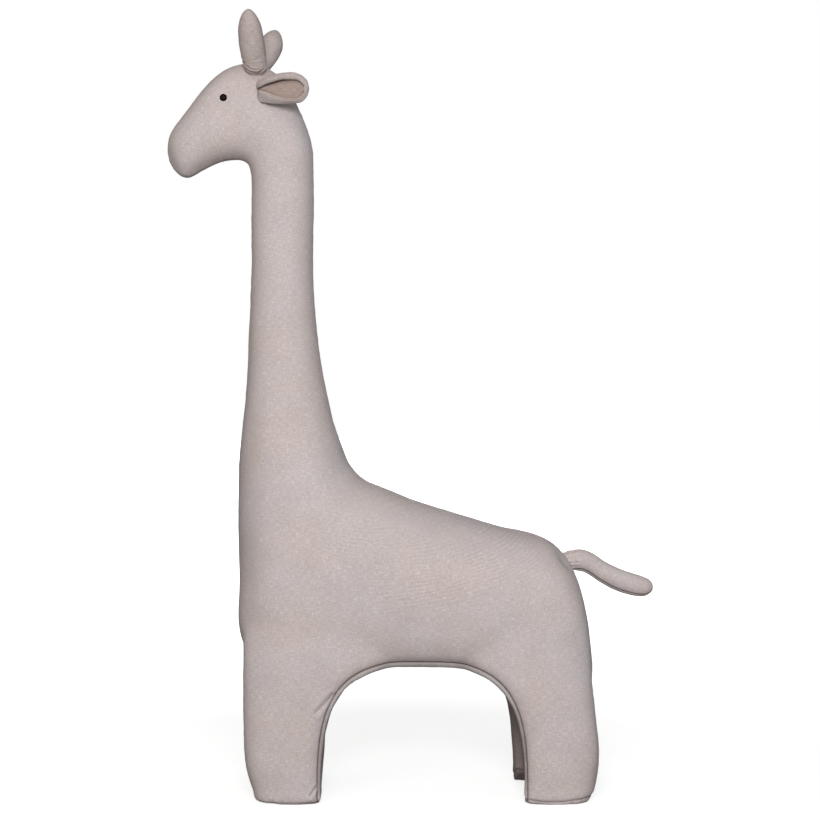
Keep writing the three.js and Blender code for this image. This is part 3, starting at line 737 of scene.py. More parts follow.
def crease_distance(points, side, start, end):
    distance = to_segment(points[:, 0], points[:, 2], start, end)
    outside = arch_distance(points[:, 0], points[:, 2], ARCH_SEAM_REACH, ARCH_SEAM_RISE) > 0
    return np.where(outside & (points[:, 1] * SIDES[side] > LEG_MIDDLE_Y), distance, FAR)


def soften(piece):
    """Stuffing that isn't quite even, creases, and places that the stitches draw in."""
    points, normals = points_of(piece), normals_of(piece)
    push = 0.0006 * lumps(points, 0.045, 1) + 0.0003 * lumps(points, 0.02, 2)
    for side, start, end, width, depth in CREASES:
        distance = crease_distance(points, side, start, end)
        push += depth * (0.45 * bump(distance - 2.2 * width, width) - bump(distance, width))
    for place, depth, width in HOLLOWS:
        push -= depth * bump(np.linalg.norm(points - np.array(place), axis=1), width)
    points += normals * push[:, None]
    beside = np.abs(points[:, 1])
    drawn = ramp(arch_distance(points[:, 0], points[:, 2], 0, 0), ARCH_TUCK_WIDTH, 0)
    drawn = drawn * ramp(beside, 0.04, 0.085)
    drawn *= ramp(points[:, 2], 0, 0.02)
    points[:, 1] -= np.sign(points[:, 1]) * ARCH_TUCK * drawn
    set_points(piece, points)


def fine_near_seams(body):
    points = points_of(body)
    wanted = nearest_seam(seam_distances(points, normals_of(body))) < SEAM_BAND
    for side, start, end, width, _ in CREASES:
        wanted |= crease_distance(points, side, start, end) < 5 * width
    refined(body, wanted)


def stand(body):
    """Brings the right legs forward, and sets the soles flat on the floor."""
    points = points_of(body)
    x, y, z = points.T.copy()
    in_front = ramp(x, ARCH_CENTRE_X, ARCH_FRONT_X)
    shift = mix(FAR_HIND_SHIFT * ramp(z, 0.17, 0.07), FAR_FRONT_SHIFT * ramp(z, 0.19, 0.12), in_front)
    points[:, 0] -= shift * ramp(y, -0.06 * in_front, 0.025)
    lift = mix(*FAR_SOLE_LIFT, in_front)
    points[:, 2] += lift * ramp(y, 0, 0.02) * ramp(y, 0.066, 0.022) * ramp(z, 0.045, 0)
    twist = ramp(y, -0.088, -0.03) * ramp(y, 0, -0.012) * ramp(z, 0.12, 0.03)
    points[:, 0] += NEAR_TWIST * twist * (1 - in_front)
    points[:, 2] = np.maximum(points[:, 2], 0)
    set_points(body, points)


# Painted shade: 1 on the inner faces of the legs and under the arch, where shade falls between them, and 0
# elsewhere
def leg_shade_mask(points):
    x, y, z = points.T
    in_arch = ramp(np.abs(arch_distance(x, z, 0, 0)), 0.016, 0.007)
    between = ramp(np.abs(y), LEG_INNER_Y + 0.018, LEG_INNER_Y + 0.004)
    return ramp(np.abs(y), 0.088, 0.066) * np.maximum(in_arch, between) * ramp(z, 0.185, 0.13)


def make_body():
    body = trunk_piece()
    for forwards in (-1, 1):
        for side in SIDES.values():
            cut_or_join(body, leg_piece(forwards, side), "UNION")
    cut_or_join(body, arch_cutter(), "DIFFERENCE")
    modify(body, "REMESH", mode="VOXEL", voxel_size=VOXEL)
    sharp = points_of(body)
    rounded = relaxed(sharp, edges_of(body), ROUNDING_ROUNDS, ROUNDING_FACTOR)
    kept = SOLE_SHARPNESS * ramp(sharp[:, 2:3], 0.02, 0.004)
    set_points(body, mix(rounded, sharp, kept))
    nearest = nearest_seam(seam_distances(points_of(body), normals_of(body)))
    filled(body, bump(nearest, VOXEL))
    modify(body, "SUBSURF", levels=1)
    fine_near_seams(body)
    soften(body)
    *seams, sole = carve_seams(body)
    # Painted light: the strip just inside the arch's seams, which the linen makes paler as if lit
    keep_attribute(body, "gusset", ramp(seams[2], 0, -0.0012) * (np.abs(seams[2]) < 0.02))
    # Painted shade between the legs and under the arch, which the linen blends in as a dark brown
    keep_attribute(body, "painted_leg_shade", leg_shade_mask(points_of(body)))
    stand(body)
    keep_cloth(body, seams, sole)
    covered = ("side_panel", "underside", "sole", "stuffing")
    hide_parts(*[node for node in frame["nodes"] if node.startswith(covered)])
    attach(body, "body")
    wear(body, LINEN)
    return body


# Horns: height in millimetres, turn, half span in turn, tilt and depth of each fold that the root's
# stitches draw
HORN_FOLDS = [
    (1.0, 112, 58, 2.8, 1.0),
    (3.9, 118, 54, 3.0, 1.2),
    (6.9, 112, 46, 2.6, 1.0),
    (10.4, 148, 42, 2.2, 0.8),
    (13.4, 158, 32, 1.5, 0.7),
    (1.8, 42, 36, -4.5, 1.2),
    (4.8, 38, 34, -5.0, 1.2),
    (8.0, 34, 32, -5.0, 1.0),
    (11.6, 26, 28, -3.5, 0.7),
    (19.0, 75, 28, 0.3, 0.45),
    (21.5, 70, 24, 0.3, 0.3),
    (67.0, 120, 35, 0.2, 0.3),
    (3.0, 235, 55, 0.8, 0.9),
    (6.4, 285, 50, -0.8, 0.9),
    (9.6, 240, 45, 0.6, 0.7),
    (13.0, 300, 40, 0.5, 0.6),
]

# Radius of each horn as a share, against millimetres over the skin
HORN_SWELL = {
    "left": [
        (-5, 0.48), (0, 0.66), (4, 0.82), (8, 0.93), (12, 0.96),
        (20, 1.0), (29, 1.04), (42, 1.05), (54, 1.01), (85, 1.0),
    ],
    "right": [
        (-5, 0.66), (0, 0.67), (12, 0.63), (20, 0.61), (25, 0.65),
        (31, 0.75), (38, 0.86), (48, 0.97), (85, 1.0),
    ],
}


def turn_apart(turn, other):
    return np.abs((turn - other + math.pi) % (2 * math.pi) - math.pi)


def seam_round(radius, turn, seam_turn, sides):
    """Distance round a piece to its one seam, which runs along a column of its points."""
    step = round(seam_turn / 360 * sides)
    return radius[:, None] * turn_apart(turn, 2 * math.pi * step / sides)


def make_horn(name, side):
    root = np.array(joint_place(f"horn_{name}_lean"))
    lean, splay = math.tan(math.radians(HORN_LEAN[name])), math.tan(math.radians(HORN_SPLAY))
    axis = np.array([lean, side * splay, 1.0])
    axis /= np.linalg.norm(axis)
    across = np.cross([0, -side, 0], axis) * -side
    across /= np.linalg.norm(across)
    over = np.cross(axis, across) * (1 if np.cross(axis, across)[1] * side > 0 else -1)
    top = HORN_FOOT + HORN_LENGTH
    straight = np.linspace(-HORN_SUNK, top - HORN_TIP, 84)
    rounded = top - HORN_TIP * (1 - np.sin(np.linspace(0, math.pi / 2, 30)[1:]))
    height = np.concatenate([straight, rounded])
    table = np.array(HORN_SWELL[name])
    radius = HORN_RADIUS * spline(table[:, 0] * MM, table[:, 1], height)
    left = np.clip((top - height) / HORN_TIP, 0, 1)
    radius *= (1 - (1 - left) ** 1.8) ** 0.6
    along = (height + HORN_SUNK) / (top + HORN_SUNK)
    bow = HORN_BOW[name] * np.sin(math.pi * along)
    centres = root + (height - HORN_FOOT)[:, None] * axis + bow[:, None] * across
    turn = ring_turns(HORN_SIDES)[None, :]
    outer = np.clip(np.sin(turn), 0, 1)
    push = -HORN_TUCK * ramp(height, 0.0095, -0.003)[:, None] * outer
    smile = HORN_FOLDS_START + HORN_SMILE * (1 - np.abs(np.sin(turn)))
    # Distance to the folds, where the linen paints their shade as dark lines
    crease = np.full((len(height), HORN_SIDES), FAR)
    for at, middle_turn, span, tilt, depth in HORN_FOLDS:
        apart = turn_apart(turn, math.radians(middle_turn))
        window = ramp(apart, math.radians(span), math.radians(span * 0.45))
        level = height[:, None] - smile - at * MM - tilt * MM * np.sin(turn - math.radians(middle_turn))
        beside = np.abs(level) - 2 * HORN_FOLD_WIDTH
        fold = 0.5 * bump(beside, HORN_FOLD_WIDTH) - bump(level, HORN_FOLD_WIDTH)
        push = push + HORN_FOLDS_DEPTH * depth * MM * window * fold
        crease = np.minimum(crease, np.abs(level) + (1.4 - depth + 2 * (1 - window)) * MM)
    seam = seam_round(radius, turn, HORN_SEAM_TURN, HORN_SIDES)
    groove_depth, groove_width = HORN_GROOVE
    push = push - groove_depth * bump(seam, groove_width)
    horn = swept(f"plush_horn_{name}", centres, across, over, radius, HORN_SIDES, push)
    nodes = ("horn_cover_" + name, "horn_stuffing_" + name)
    finish_stuffed(horn, seam, HORN_LINEN, nodes, crease=crease)
    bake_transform(horn)


def make_uneven(piece, *hills):
    """Moves the skin by hills, each a height, a size and a seed."""
    points = points_of(piece)
    push = sum(height * lumps(points, size, seed) for height, size, seed in hills)
    set_points(piece, points + normals_of(piece) * push[:, None])


def finish_stuffed(piece, seam, material, nodes, kind=0, crease=None):
    """What the small stuffed pieces share. seam is the distance to their one seam, ring by ring,
    and kind is the seam of the body whose shade it gets. crease, given on the horns, is the distance to
    their folds, where the linen paints the folds' shade."""
    flat = np.concatenate([[FAR], seam[1:-1].ravel(), [FAR]])
    make_uneven(piece, (0.0003, 0.013, 3), (0.00012, 0.005, 4))
    seams = [np.full(len(flat), FAR) for _ in range(3)]
    seams[kind] = flat
    # Painted shade in the horns' folds, carried in the second seam's place
    if crease is not None:
        seams[1] = np.concatenate([[FAR], crease[1:-1].ravel(), [FAR]])
    keep_cloth(piece, seams)
    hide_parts(*nodes)
    wear(piece, material)


# Ears, along from the root: top, lower edge of the upper rim, lip of the lower rim, and bottom
EAR_SHARES = [
    (0, 0.42, 0.07, 0.03, -0.34),
    (0.039, 0.63, 0.1, 0.02, -0.59),
    (0.109, 0.69, 0.14, -0.08, -0.72),
    (0.192, 0.73, 0.23, -0.22, -0.785),
    (0.303, 0.83, 0.32, -0.39, -0.85),
    (0.442, 0.91, 0.42, -0.59, -0.91),
    (0.594, 0.94, 0.48, -0.74, -0.95),
    (0.732, 0.92, 0.45, -0.8, -0.95),
    (0.855, 0.77, 0.33, -0.7, -0.92),
    (0.91, 0.65, 0.16, -0.5, -0.8),
    (0.951, 0.5, 0.04, -0.27, -0.64),
    (0.986, 0.25, -0.03, -0.12, -0.38),
    (1, -0.02, -0.06, -0.09, -0.16),
]

# The same, in millimetres towards the side that the ear faces: edge, rim's crest, hollow's floor and back
EAR_HEIGHTS = [
    (0, -1.5, 1.5, -0.5, -3.5),
    (0.06, 0.5, 5.0, 1.4, -3.4),
    (0.15, 3.0, 8.2, 3.4, -3.4),
    (0.35, 5.6, 10.6, 3.4, -3.4),
    (0.6, 6.4, 11.4, 2.2, -3.4),
    (0.8, 5.4, 10.6, 2.0, -3.2),
    (0.93, 3.4, 8.2, 2.6, -2.4),
    (1, 2.0, 4.4, 3.6, 0.6),
]


def ear_directions(name, side):
    sweep, lift = (math.radians(turn) for turn in EAR_TURNS[name])
    level = math.cos(lift)
    run = np.array([math.cos(sweep) * level, side * math.sin(sweep) * level, math.sin(lift)])
    facing = np.array([0, side, 0]) - run * side * run[1]
    facing /= np.linalg.norm(facing)
    rise = np.cross(facing, run)
    return run, facing, rise * np.sign(rise[2])


def ear_columns(along):
    """Places in metres at each share along the ear."""
    shares, heights = np.array(EAR_SHARES), np.array(EAR_HEIGHTS)
    top, crease, lip, bottom = (spline(shares[:, 0], shares[:, 1:] * EAR_HALF_WIDTH, along)).T
    edge, crest, floor, back = (spline(heights[:, 0], heights[:, 1:] * MM, along)).T
    open_share = ramp(along, -0.03, 0.05) * ramp(along, 0.955, 0.9)
    return top, crease, lip, bottom, edge, crest, floor, back, open_share


def ear_corners(along):
    """Corners of the leaf's section, in rise and facing, anticlockwise from its top edge."""
    top, crease, lip, bottom, edge, crest, floor, back, is_open = ear_columns(along)
    floor = mix(crest * 0.96, floor, is_open)
    low_crest = mix(crest, crest * 0.84, is_open)
    centre = (top + bottom) / 2
    upper = top - crease
    lower = lip - bottom
    corners = [
        (top, edge),
        (top - 0.16 * upper, mix(edge, crest, 0.72)),
        (top - 0.5 * upper, crest),
        (crease + 0.12 * upper, mix(floor, crest, 0.88)),
        (crease + 0.02 * upper, mix(floor, crest, 0.5)),
        (crease + 0.13 * upper * is_open, mix(floor, crest, 0.08)),
        (mix(crease, lip, 0.45), floor),
        (lip + 0.0036 * is_open, floor + 0.0006 * is_open),
        (lip + 0.0008 * is_open, mix(floor, low_crest, 0.6)),
        (lip - 0.12 * lower, low_crest),
        (lip - 0.55 * lower, mix(edge, low_crest, 0.5)),
        (bottom, edge * 0.5),
        (mix(bottom, centre, 0.3), mix(back, edge, 0.4)),
        (centre, back),
        (mix(top, centre, 0.3), mix(back, edge, 0.45)),
    ]
    return np.array([[u, w] for u, w in corners]).transpose(0, 2, 1)


def lining_corners(along):
    top, crease, lip, bottom, edge, crest, floor, back, is_open = ear_columns(along)
    low, high = LINING_SPAN
    first, last = LINING_NARROWS
    narrow = np.clip(1 - np.clip((along - last) / (high - last), 0, 1) ** 3, 0, 1) ** 0.5
    near_root = np.sqrt(np.clip(1 - ((first - along) / (first - low)) ** 2, 0, 1))
    narrow *= np.where(along < first, near_root, 1.0)
    centre = mix(crease, lip, 0.45)
    upper = centre + (crease + 0.1 * (top - crease) - centre) * narrow
    lower = centre + (lip + 0.0028 - centre) * narrow
    under, over = floor + 0.0002, floor + 0.0002 + LINING_THICKNESS
    swell = 0.0016 * narrow
    corners = [
        (upper, (under + over) / 2),
        (mix(upper, centre, 0.12), over),
        (mix(upper, centre, 0.6), over + swell),
        (mix(lower, centre, 0.5), over + swell),
        (mix(lower, centre, 0.1), over + 0.0004),
        (lower, (under + over) / 2 + 0.0003),
        (mix(lower, centre, 0.1), under),
        (centre, under),
        (mix(upper, centre, 0.1), under),
    ]
    return np.array([[u, w] for u, w in corners]).transpose(0, 2, 1)


def ear_skin(name, corners, along, place, directions, sides):
    run, facing, rise = directions
    section = closed_curve(corners, sides).transpose(1, 0, 2)
    dent = EAR_DENT * bump(section[:, :, :1], 0.004) * ramp(along, 0.09, 0)[:, None, None]
    length = EAR_START + along[:, None, None] * EAR_LENGTH + dent
    rings = place + length * run + section[:, :, :1] * rise + section[:, :, 1:] * facing
    return skin(name, rings, rings[0].mean(0), rings[-1].mean(0))


def ear_crease(points, directions):
    """Distance to the deep crease under the upper rim, where the linen paints shade that fades towards the
    tip.
    """
    run, facing, rise = directions
    along = np.clip((points @ run - EAR_START) / EAR_LENGTH, 0, 1)
    top, crease = ear_columns(along)[:2]
    distance = np.abs(points @ rise - crease - 0.03 * (top - crease)) + 0.004 * ramp(along, 0.5, 0.95)
    return np.where(points @ facing > 0, distance, FAR)


def make_ear(name, side):
    place = np.array(joint_place(f"ear_{name}_fold"))
    directions = ear_directions(name, side)
    spread = (1 - np.cos(np.linspace(0, math.pi, EAR_RINGS))) / 2
    along = mix(np.linspace(0, 1, EAR_RINGS), spread, 0.75)
    leaf = ear_skin(f"plush_ear_{name}", ear_corners(along), along, place, directions, EAR_SIDES)
    inner = mix(*LINING_SPAN, (1 - np.cos(np.linspace(0.12, math.pi - 0.05, EAR_RINGS // 2))) / 2)
    hollow = ear_skin(f"ear_hollow_{name}", lining_corners(inner), inner, place, directions, 48)
    for piece, material, slot, node in (
        (leaf, EAR_LINEN, "linen", f"ear_{name}"),
        (hollow, LINING, "ear_lining", f"ear_lining_{name}"),
    ):
        points = points_of(piece)
        make_uneven(piece, (0.00025, 0.011, 6))
        far = np.full(len(points), FAR)
        # On both pieces, the third seam's line paints the shade of the crease under the upper rim
        keep_cloth(piece, [far, far, ear_crease(points - place, directions)])
        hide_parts(node)
        wear(piece, material)
        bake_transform(piece)


# Tail: x and z of its middle line and its radius, in millimetres
TAIL_PATH = [
    (209.4, 296.1, 0.2),
    (209.6, 296.1, 7.5),
    (210.6, 296.3, 11.4),
    (213.6, 296.6, 13.2),
    (219, 296.6, 14),
    (226, 295, 13.8),
    (235, 290.2, 13.1),
    (247, 282.3, 13),
    (260, 275.2, 13.7),
    (274, 269.2, 14.1),
    (288, 264.9, 13.9),
    (299.5, 262.4, 13),
    (307, 261.5, 10.3),
    (311.6, 261.2, 6.6),
    (313.6, 261.1, 3.2),
    (314.1, 261.1, 0.2),
]
ROOT_PATH = [
    (196.4, 291.6, 0.2),
    (196.8, 291.8, 9),
    (199.2, 293.2, 12.2),
    (203, 295, 13.2),
    (207, 296, 12.9),
    (211, 296.4, 12.6),
    (214.5, 296.6, 12.2),
    (217, 296.6, 8),
    (217.6, 296.6, 0.2),
]
TAIL_SEAM_TURN = 306.0


def tail_form(path, count):
    """Middle line, directions and radius of a piece of the tail."""
    table = np.array(path) * MM
    steps = np.hypot(*np.diff(table, axis=0)[:, [0, 1]].T) + 0.6 * np.abs(np.diff(table[:, 2]))
    knots = np.concatenate([[0], np.cumsum(steps)])
    x, z, radius = spline(knots, table, np.linspace(0, knots[-1], count)).T
    centres = np.stack([x, np.zeros(count), z], axis=1)
    tangent = np.gradient(centres, axis=0)
    tangent = relaxed_rows(tangent / np.linalg.norm(tangent, axis=1, keepdims=True), 6)
    over = np.cross(tangent, [0, -1, 0])
    over /= np.linalg.norm(over, axis=1, keepdims=True)
    over *= np.sign(over[:, 2:3])
    return centres, np.array([0.0, -1.0, 0.0]), over, np.maximum(radius, 0.0002)


def relaxed_rows(rows, rounds):
    for _ in range(rounds):
        rows = (np.vstack([rows[:1], rows[:-1]]) + 2 * rows + np.vstack([rows[1:], rows[-1:]])) / 4
    return rows


def make_tail():
    turn = ring_turns(TAIL_SIDES)[None, :]
    centres, across, over, radius = tail_form(TAIL_PATH, 150)
    seam = seam_round(radius, turn, TAIL_SEAM_TURN, TAIL_SIDES)
    pleat = np.cos(TAIL_PLEATS * turn + 2 * np.sin(2 * turn))
    near_root = bump(centres[:, 0:1] - 0.211, 0.006)
    push = 0.0007 * pleat * near_root - 0.0012 * bump(seam, 0.0014)
    tail = swept("plush_tail", centres, across, over, radius, TAIL_SIDES, push)
    finish_stuffed(tail, seam, LINEN, ("tail_cover", "tail_stuffing"), kind=2)
    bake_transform(tail)

    centres, across, over, radius = tail_form(ROOT_PATH, 60)
    under = 0.6 + 0.7 * ramp(-np.sin(turn), -0.2, 0.9)
    folds = 0.001 * under * pleat * bump(centres[:, 0:1] - 0.203, 0.007)
    pinch = -0.0022 * bump(centres[:, 0:1] - 0.2035, 0.0022) * under
    root = swept("gathered_root", centres, across, over, radius, TAIL_SIDES, folds + pinch)
    finish_stuffed(root, np.full((60, TAIL_SIDES), FAR), LINEN, ("tail_root",))
    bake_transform(root)


def make_eye(name, side):
    """A domed safety eye whose rim is rounded, with the shank that passes through the skin."""
    out = np.array(EYE_DIRECTIONS[name])
    out /= np.linalg.norm(out)
    place = np.array(EYE_PLACES[name])
    turn = np.linspace(0, math.pi / 2, 12)
    dome = [(EYE_RADIUS * math.cos(t) ** 0.9, EYE_DOME * math.sin(t)) for t in turn[:-1]]
    rim = [(EYE_SHANK_RADIUS, -EYE_SHANK_LENGTH), (EYE_SHANK_RADIUS, -0.0012), (EYE_RADIUS * 0.9, -0.001)]
    profile = [(0.0001, -EYE_SHANK_LENGTH), *rim, (EYE_RADIUS * 0.99, -0.0005), *dome, (0.0001, EYE_DOME)]
    radii, heights = np.array(profile).T
    across = np.cross(out, [0, 0, 1])
    across /= np.linalg.norm(across)
    over = np.cross(out, across)
    centres = place + heights[:, None] * out
    eye = swept(f"domed_eye_{name}", centres, across, over, radii, 40)
    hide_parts(f"eye_{name}")
    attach(eye, "body")
    wear(eye, EYE_GLOSS)


# Materials

def new_material(name):
    material = bpy.data.materials.new(name)
    material.use_nodes = True
    material.node_tree.nodes.clear()
    return material, Nodes(material.node_tree)


class Nodes:
    """Short calls that add nodes and join them."""

    def __init__(self, tree):
        self.tree = tree

    def put(self, value, socket):
        if isinstance(value, bpy.types.NodeSocket):
            self.tree.links.new(value, socket)
        else:
            socket.default_value = value

    def add(self, kind, inputs=None, **settings):
        node = self.tree.nodes.new(kind)
        assign(node, settings)
        for key, value in (inputs or {}).items():
            self.put(value, node.inputs[key])
        return node

    def attribute(self, name, output="Fac"):
        return self.add("ShaderNodeAttribute", attribute_name=name).outputs[output]

    def math(self, operation, a, b=0.0, c=0.0):
        return self.add("ShaderNodeMath", {0: a, 1: b, 2: c}, operation=operation).outputs[0]

    def times(self, a, b):
        return self.math("MULTIPLY", a, b)

    def plus(self, a, b):
        return self.math("ADD", a, b)

    def length(self, vector):
        return self.add("ShaderNodeVectorMath", {0: vector}, operation="LENGTH").outputs["Value"]

    def place(self):
        return self.add("ShaderNodeTexCoord").outputs["Object"]

    def vector(self, operation, a, b=(0, 0, 0)):
        return self.add("ShaderNodeVectorMath", {0: a, 1: b}, operation=operation).outputs[0]

    def split(self, vector):
        return self.add("ShaderNodeSeparateXYZ", {0: vector}).outputs

    def join(self, x, y, z=0.0):
        return self.add("ShaderNodeCombineXYZ", {0: x, 1: y, 2: z}).outputs[0]

    def noise(self, vector, scale, detail=2.0, roughness=0.5):
        inputs = {"Vector": vector, "Scale": scale, "Detail": detail, "Roughness": roughness}
        return self.add("ShaderNodeTexNoise", inputs).outputs["Fac"]

    def remap(self, value, low, high, to_low=0.0, to_high=1.0):
        inputs = {"Value": value, "From Min": low, "From Max": high, "To Min": to_low, "To Max": to_high}
        return self.add("ShaderNodeMapRange", inputs).outputs[0]

    def blend(self, share, a, b, mode="MIX"):
        node = self.add("ShaderNodeMix", data_type="RGBA", blend_type=mode)
        for value, socket in ((share, node.inputs[0]), (a, node.inputs[6]), (b, node.inputs[7])):
            self.put(value, socket)
        return node.outputs[2]

    def darker(self, colour, shade):
        """The colour times a grey shade."""
        return self.blend(1.0, colour, self.join(shade, shade, shade), "MULTIPLY")

    def bump(self, strength, distance, height):
        inputs = {"Strength": strength, "Distance": distance, "Height": height}
        return self.add("ShaderNodeBump", inputs).outputs[0]

    def surface(self, inputs):
        shader = self.add("ShaderNodeBsdfPrincipled", inputs)
        self.add("ShaderNodeOutputMaterial", {"Surface": shader.outputs[0]})


# The linen: its weave, the pale dashes of its slubs, the faint arcs where it is stretched, and its seams,
# with painted shade between the legs and in the horns' folds and ears' creases, and painted light on the
# gusset
THREAD_PITCH = 0.0011
DASH_LENGTH = 0.0065
DASH_WIDTH = 0.0011
RIDGE_CENTRE = (-0.034, 0.0, 0.615)
RIDGE_PITCH = 0.0047
RIDGE_STRENGTH = 0.055
# Painted shade between the legs: the dark brown laid there, and how much of it is blended in
PAINTED_LEG_SHADE = (0.24, 0.185, 0.17, 1)  # between the legs
PAINTED_LEG_SHADE_SHARE = 0.68
# Painted light: how far the strip inside the arch's seams is blended towards the pale colour
GUSSET_PAINTED_LIGHT = 0.55
# Dark line of the seams, which also paints the shade in the horns' folds and the ears' creases
SEAM_AND_CREASE_SHADE = (0.075, 0.045, 0.04, 1)
SEAM_STRENGTH = 0.8
SEAM_LINE = 0.00055  # half width of the dark line along a seam
# Seam by seam: centre; ends, which on the horns paint the shade of their folds; arch, which on the ears
# paints the shade of their crease; soles
SEAM_LINES = ((0.45, 1.0), (0.5, 1.0), (1.0, 1.7), (0.75, 1.2))  # its strength and width, seam by seam
SEAM_LINE_REACH = 0.012


def cloth_plane(n, u, v):
    """The height of a plain weave, and how pale its level and upright threads are, on a plane."""
    drift = n.noise(n.join(u, v), 1 / 0.012, 2)
    turns = 2 * math.pi / THREAD_PITCH
    warp = n.math("SINE", n.math("MULTIPLY_ADD", u, turns, n.times(drift, 5.0)))
    weft = n.math("SINE", n.math("MULTIPLY_ADD", v, turns, n.times(drift, 5.0)))
    weave = n.times(warp, weft)
    across = n.join(n.times(u, 1 / DASH_LENGTH), n.times(v, 1 / DASH_WIDTH))
    up = n.join(n.times(u, 1 / DASH_WIDTH), n.times(v, 1 / DASH_LENGTH), 7.0)
    return weave, n.noise(across, 1.0, 2), n.noise(up, 1.0, 2)


def linen(name, base, warm, pale):
    material, n = new_material(name)
    place = n.attribute("rest_place", "Vector")
    x, y, z = n.split(place)
    weights = n.split(n.attribute("planes", "Vector"))
    parts = []
    for weight, (u, v) in zip(weights, ((y, z), (x, z), (x, y))):
        parts.append([n.times(value, weight) for value in cloth_plane(n, u, v)])
    weave, level, upright = (n.plus(n.plus(a, b), c) for a, b, c in zip(*parts))
    cloud = n.noise(place, 1 / 0.085, 3)
    blotch = n.noise(n.vector("ADD", place, (3.0, 1.0, 2.0)), 1 / 0.035, 2)
    fleck = n.noise(place, 1 / 0.0013, 1)
    colour = n.blend(n.remap(cloud, 0.38, 0.62), base, warm)
    colour = n.blend(n.remap(level, 0.56, 0.74, 0.0, 0.5), colour, pale)
    colour = n.blend(n.remap(upright, 0.56, 0.74, 0.0, 0.4), colour, pale)
    colour = n.blend(n.remap(fleck, 0.64, 0.78, 0.0, 0.5), colour, pale)
    # Painted shade on the inner faces of the legs and under the arch
    colour = n.blend(n.times(n.attribute("painted_leg_shade"), PAINTED_LEG_SHADE_SHARE), colour, PAINTED_LEG_SHADE)
    # Painted light on the strip just inside the arch's seams
    colour = n.blend(n.times(n.attribute("gusset"), GUSSET_PAINTED_LIGHT), colour, pale)
    thread = n.plus(n.remap(level, 0.3, 0.7, 0.9, 1.06), n.remap(upright, 0.3, 0.7, -0.07, 0.07))
    mottle = n.remap(blotch, 0.3, 0.7, 0.965, 1.035)
    ridge = stretch_ridges(n, place)
    stretch = n.math("MULTIPLY_ADD", ridge, RIDGE_STRENGTH, 1.0)
    colour = n.darker(colour, n.times(n.times(thread, mottle), stretch))
    # Dark seam lines, and painted shade in the horns' folds and the ears' creases
    colour = n.blend(n.times(seam_shade(n), SEAM_STRENGTH), colour, SEAM_AND_CREASE_SHADE)
    relief = n.plus(n.times(weave, 0.22), n.plus(level, upright))
    relief = n.math("MULTIPLY_ADD", ridge, 0.5, relief)
    inputs = {
        "Base Color": colour,
        "Roughness": n.remap(level, 0.3, 0.8, 0.95, 0.86),
        "Sheen Weight": 0.03,
        "Sheen Roughness": 0.6,
        "Specular IOR Level": 0.05,
        "Normal": n.bump(0.45, 0.0004, relief),
    }
    n.surface(inputs)
    return material


def stretch_ridges(n, place):
    """Faint arcs, from -1 to 1, strongest on the shoulder and the flank and patchy there."""
    flat = n.vector("MULTIPLY", n.vector("SUBTRACT", place, RIDGE_CENTRE), (1, 0, 1))
    distance = n.length(flat)
    drift = n.noise(place, 1 / 0.08, 2)
    turns = n.math("MULTIPLY_ADD", drift, 3.5, n.times(distance, 1 / RIDGE_PITCH))
    wave = n.math("SINE", n.times(turns, 2 * math.pi))
    band = n.times(n.remap(distance, 0.24, 0.3), n.remap(distance, 0.42, 0.34))
    patch = n.remap(n.noise(n.vector("ADD", place, (5.0, 0.0, 0.0)), 1 / 0.06, 2), 0.4, 0.58)
    x, _, z = n.split(place)
    below_neck = n.times(n.remap(z, 0.42, 0.37), n.remap(x, -0.2, -0.15))
    return n.times(wave, n.times(band, n.times(patch, below_neck)))


def seam_shade(n):
    """1 on a line of stitches or, on the horns and ears, on a crease where shade is painted, and 0 away
    from it.
    """
    distances = (*n.split(n.attribute("seams", "Vector")), n.attribute("sole_seam"))
    darkest = 0.0
    for distance, (strength, width) in zip(distances, SEAM_LINES):
        share = n.times(distance, 1 / (SEAM_LINE * width))
        shade = n.math("DIVIDE", strength, n.math("MULTIPLY_ADD", share, share, 1.0))
        near = n.math("LESS_THAN", n.math("ABSOLUTE", distance), SEAM_LINE_REACH)
        darkest = n.math("MAXIMUM", darkest, n.times(shade, near))
    return darkest


def plain_material(name, colour, roughness, metallic, detail):
    """For the small hard parts. detail adds a pattern and returns a shade and a height."""
    material, n = new_material(name)
    shade, height = detail(n, n.place())
    normal = n.bump(0.4, 0.0002, height)
    tint = n.darker(colour, shade)
    inputs = {"Base Color": tint, "Roughness": roughness, "Metallic": metallic, "Normal": normal}
    n.surface(inputs)
    return material


def drawn_wire(n, place):
    scratch = n.noise(n.vector("MULTIPLY", place, (1, 1, 0.08)), 1 / 0.0006, 2)
    cloud = n.noise(place, 1 / 0.02, 2)
    return n.plus(n.remap(scratch, 0.3, 0.7, 0.85, 1.0), n.remap(cloud, 0.3, 0.7, -0.05, 0.05)), scratch


def woven_tape(n, place):
    x, y, z = n.split(place)
    turns = 2 * math.pi / 0.0012
    across = n.math("SINE", n.times(n.plus(x, y), turns))
    weave = n.times(across, n.math("SINE", n.times(z, turns)))
    return n.remap(weave, -1.0, 1.0, 0.86, 1.0), weave


def moulded(n, place):
    grain = n.noise(place, 1 / 0.0008, 2)
    return n.remap(grain, 0.3, 0.7, 0.95, 1.0), grain


def dress_inner_parts():
    """Gives the wires, tapes and washers, whose forms are right, their finishes."""
    finishes = (
        ("_wire", plain_material("drawn_steel", (0.52, 0.52, 0.53, 1), 0.35, 1.0, drawn_wire)),
        ("wire_tape", plain_material("woven_tape", (0.74, 0.71, 0.64, 1), 0.9, 0.0, woven_tape)),
        ("eye_washer", plain_material("moulded_nylon", (0.8, 0.78, 0.72, 1), 0.5, 0.0, moulded)),
    )
    for name, node in frame["nodes"].items():
        for part, material in finishes:
            if name.startswith(part) or name.endswith(part):
                wear(node, material)


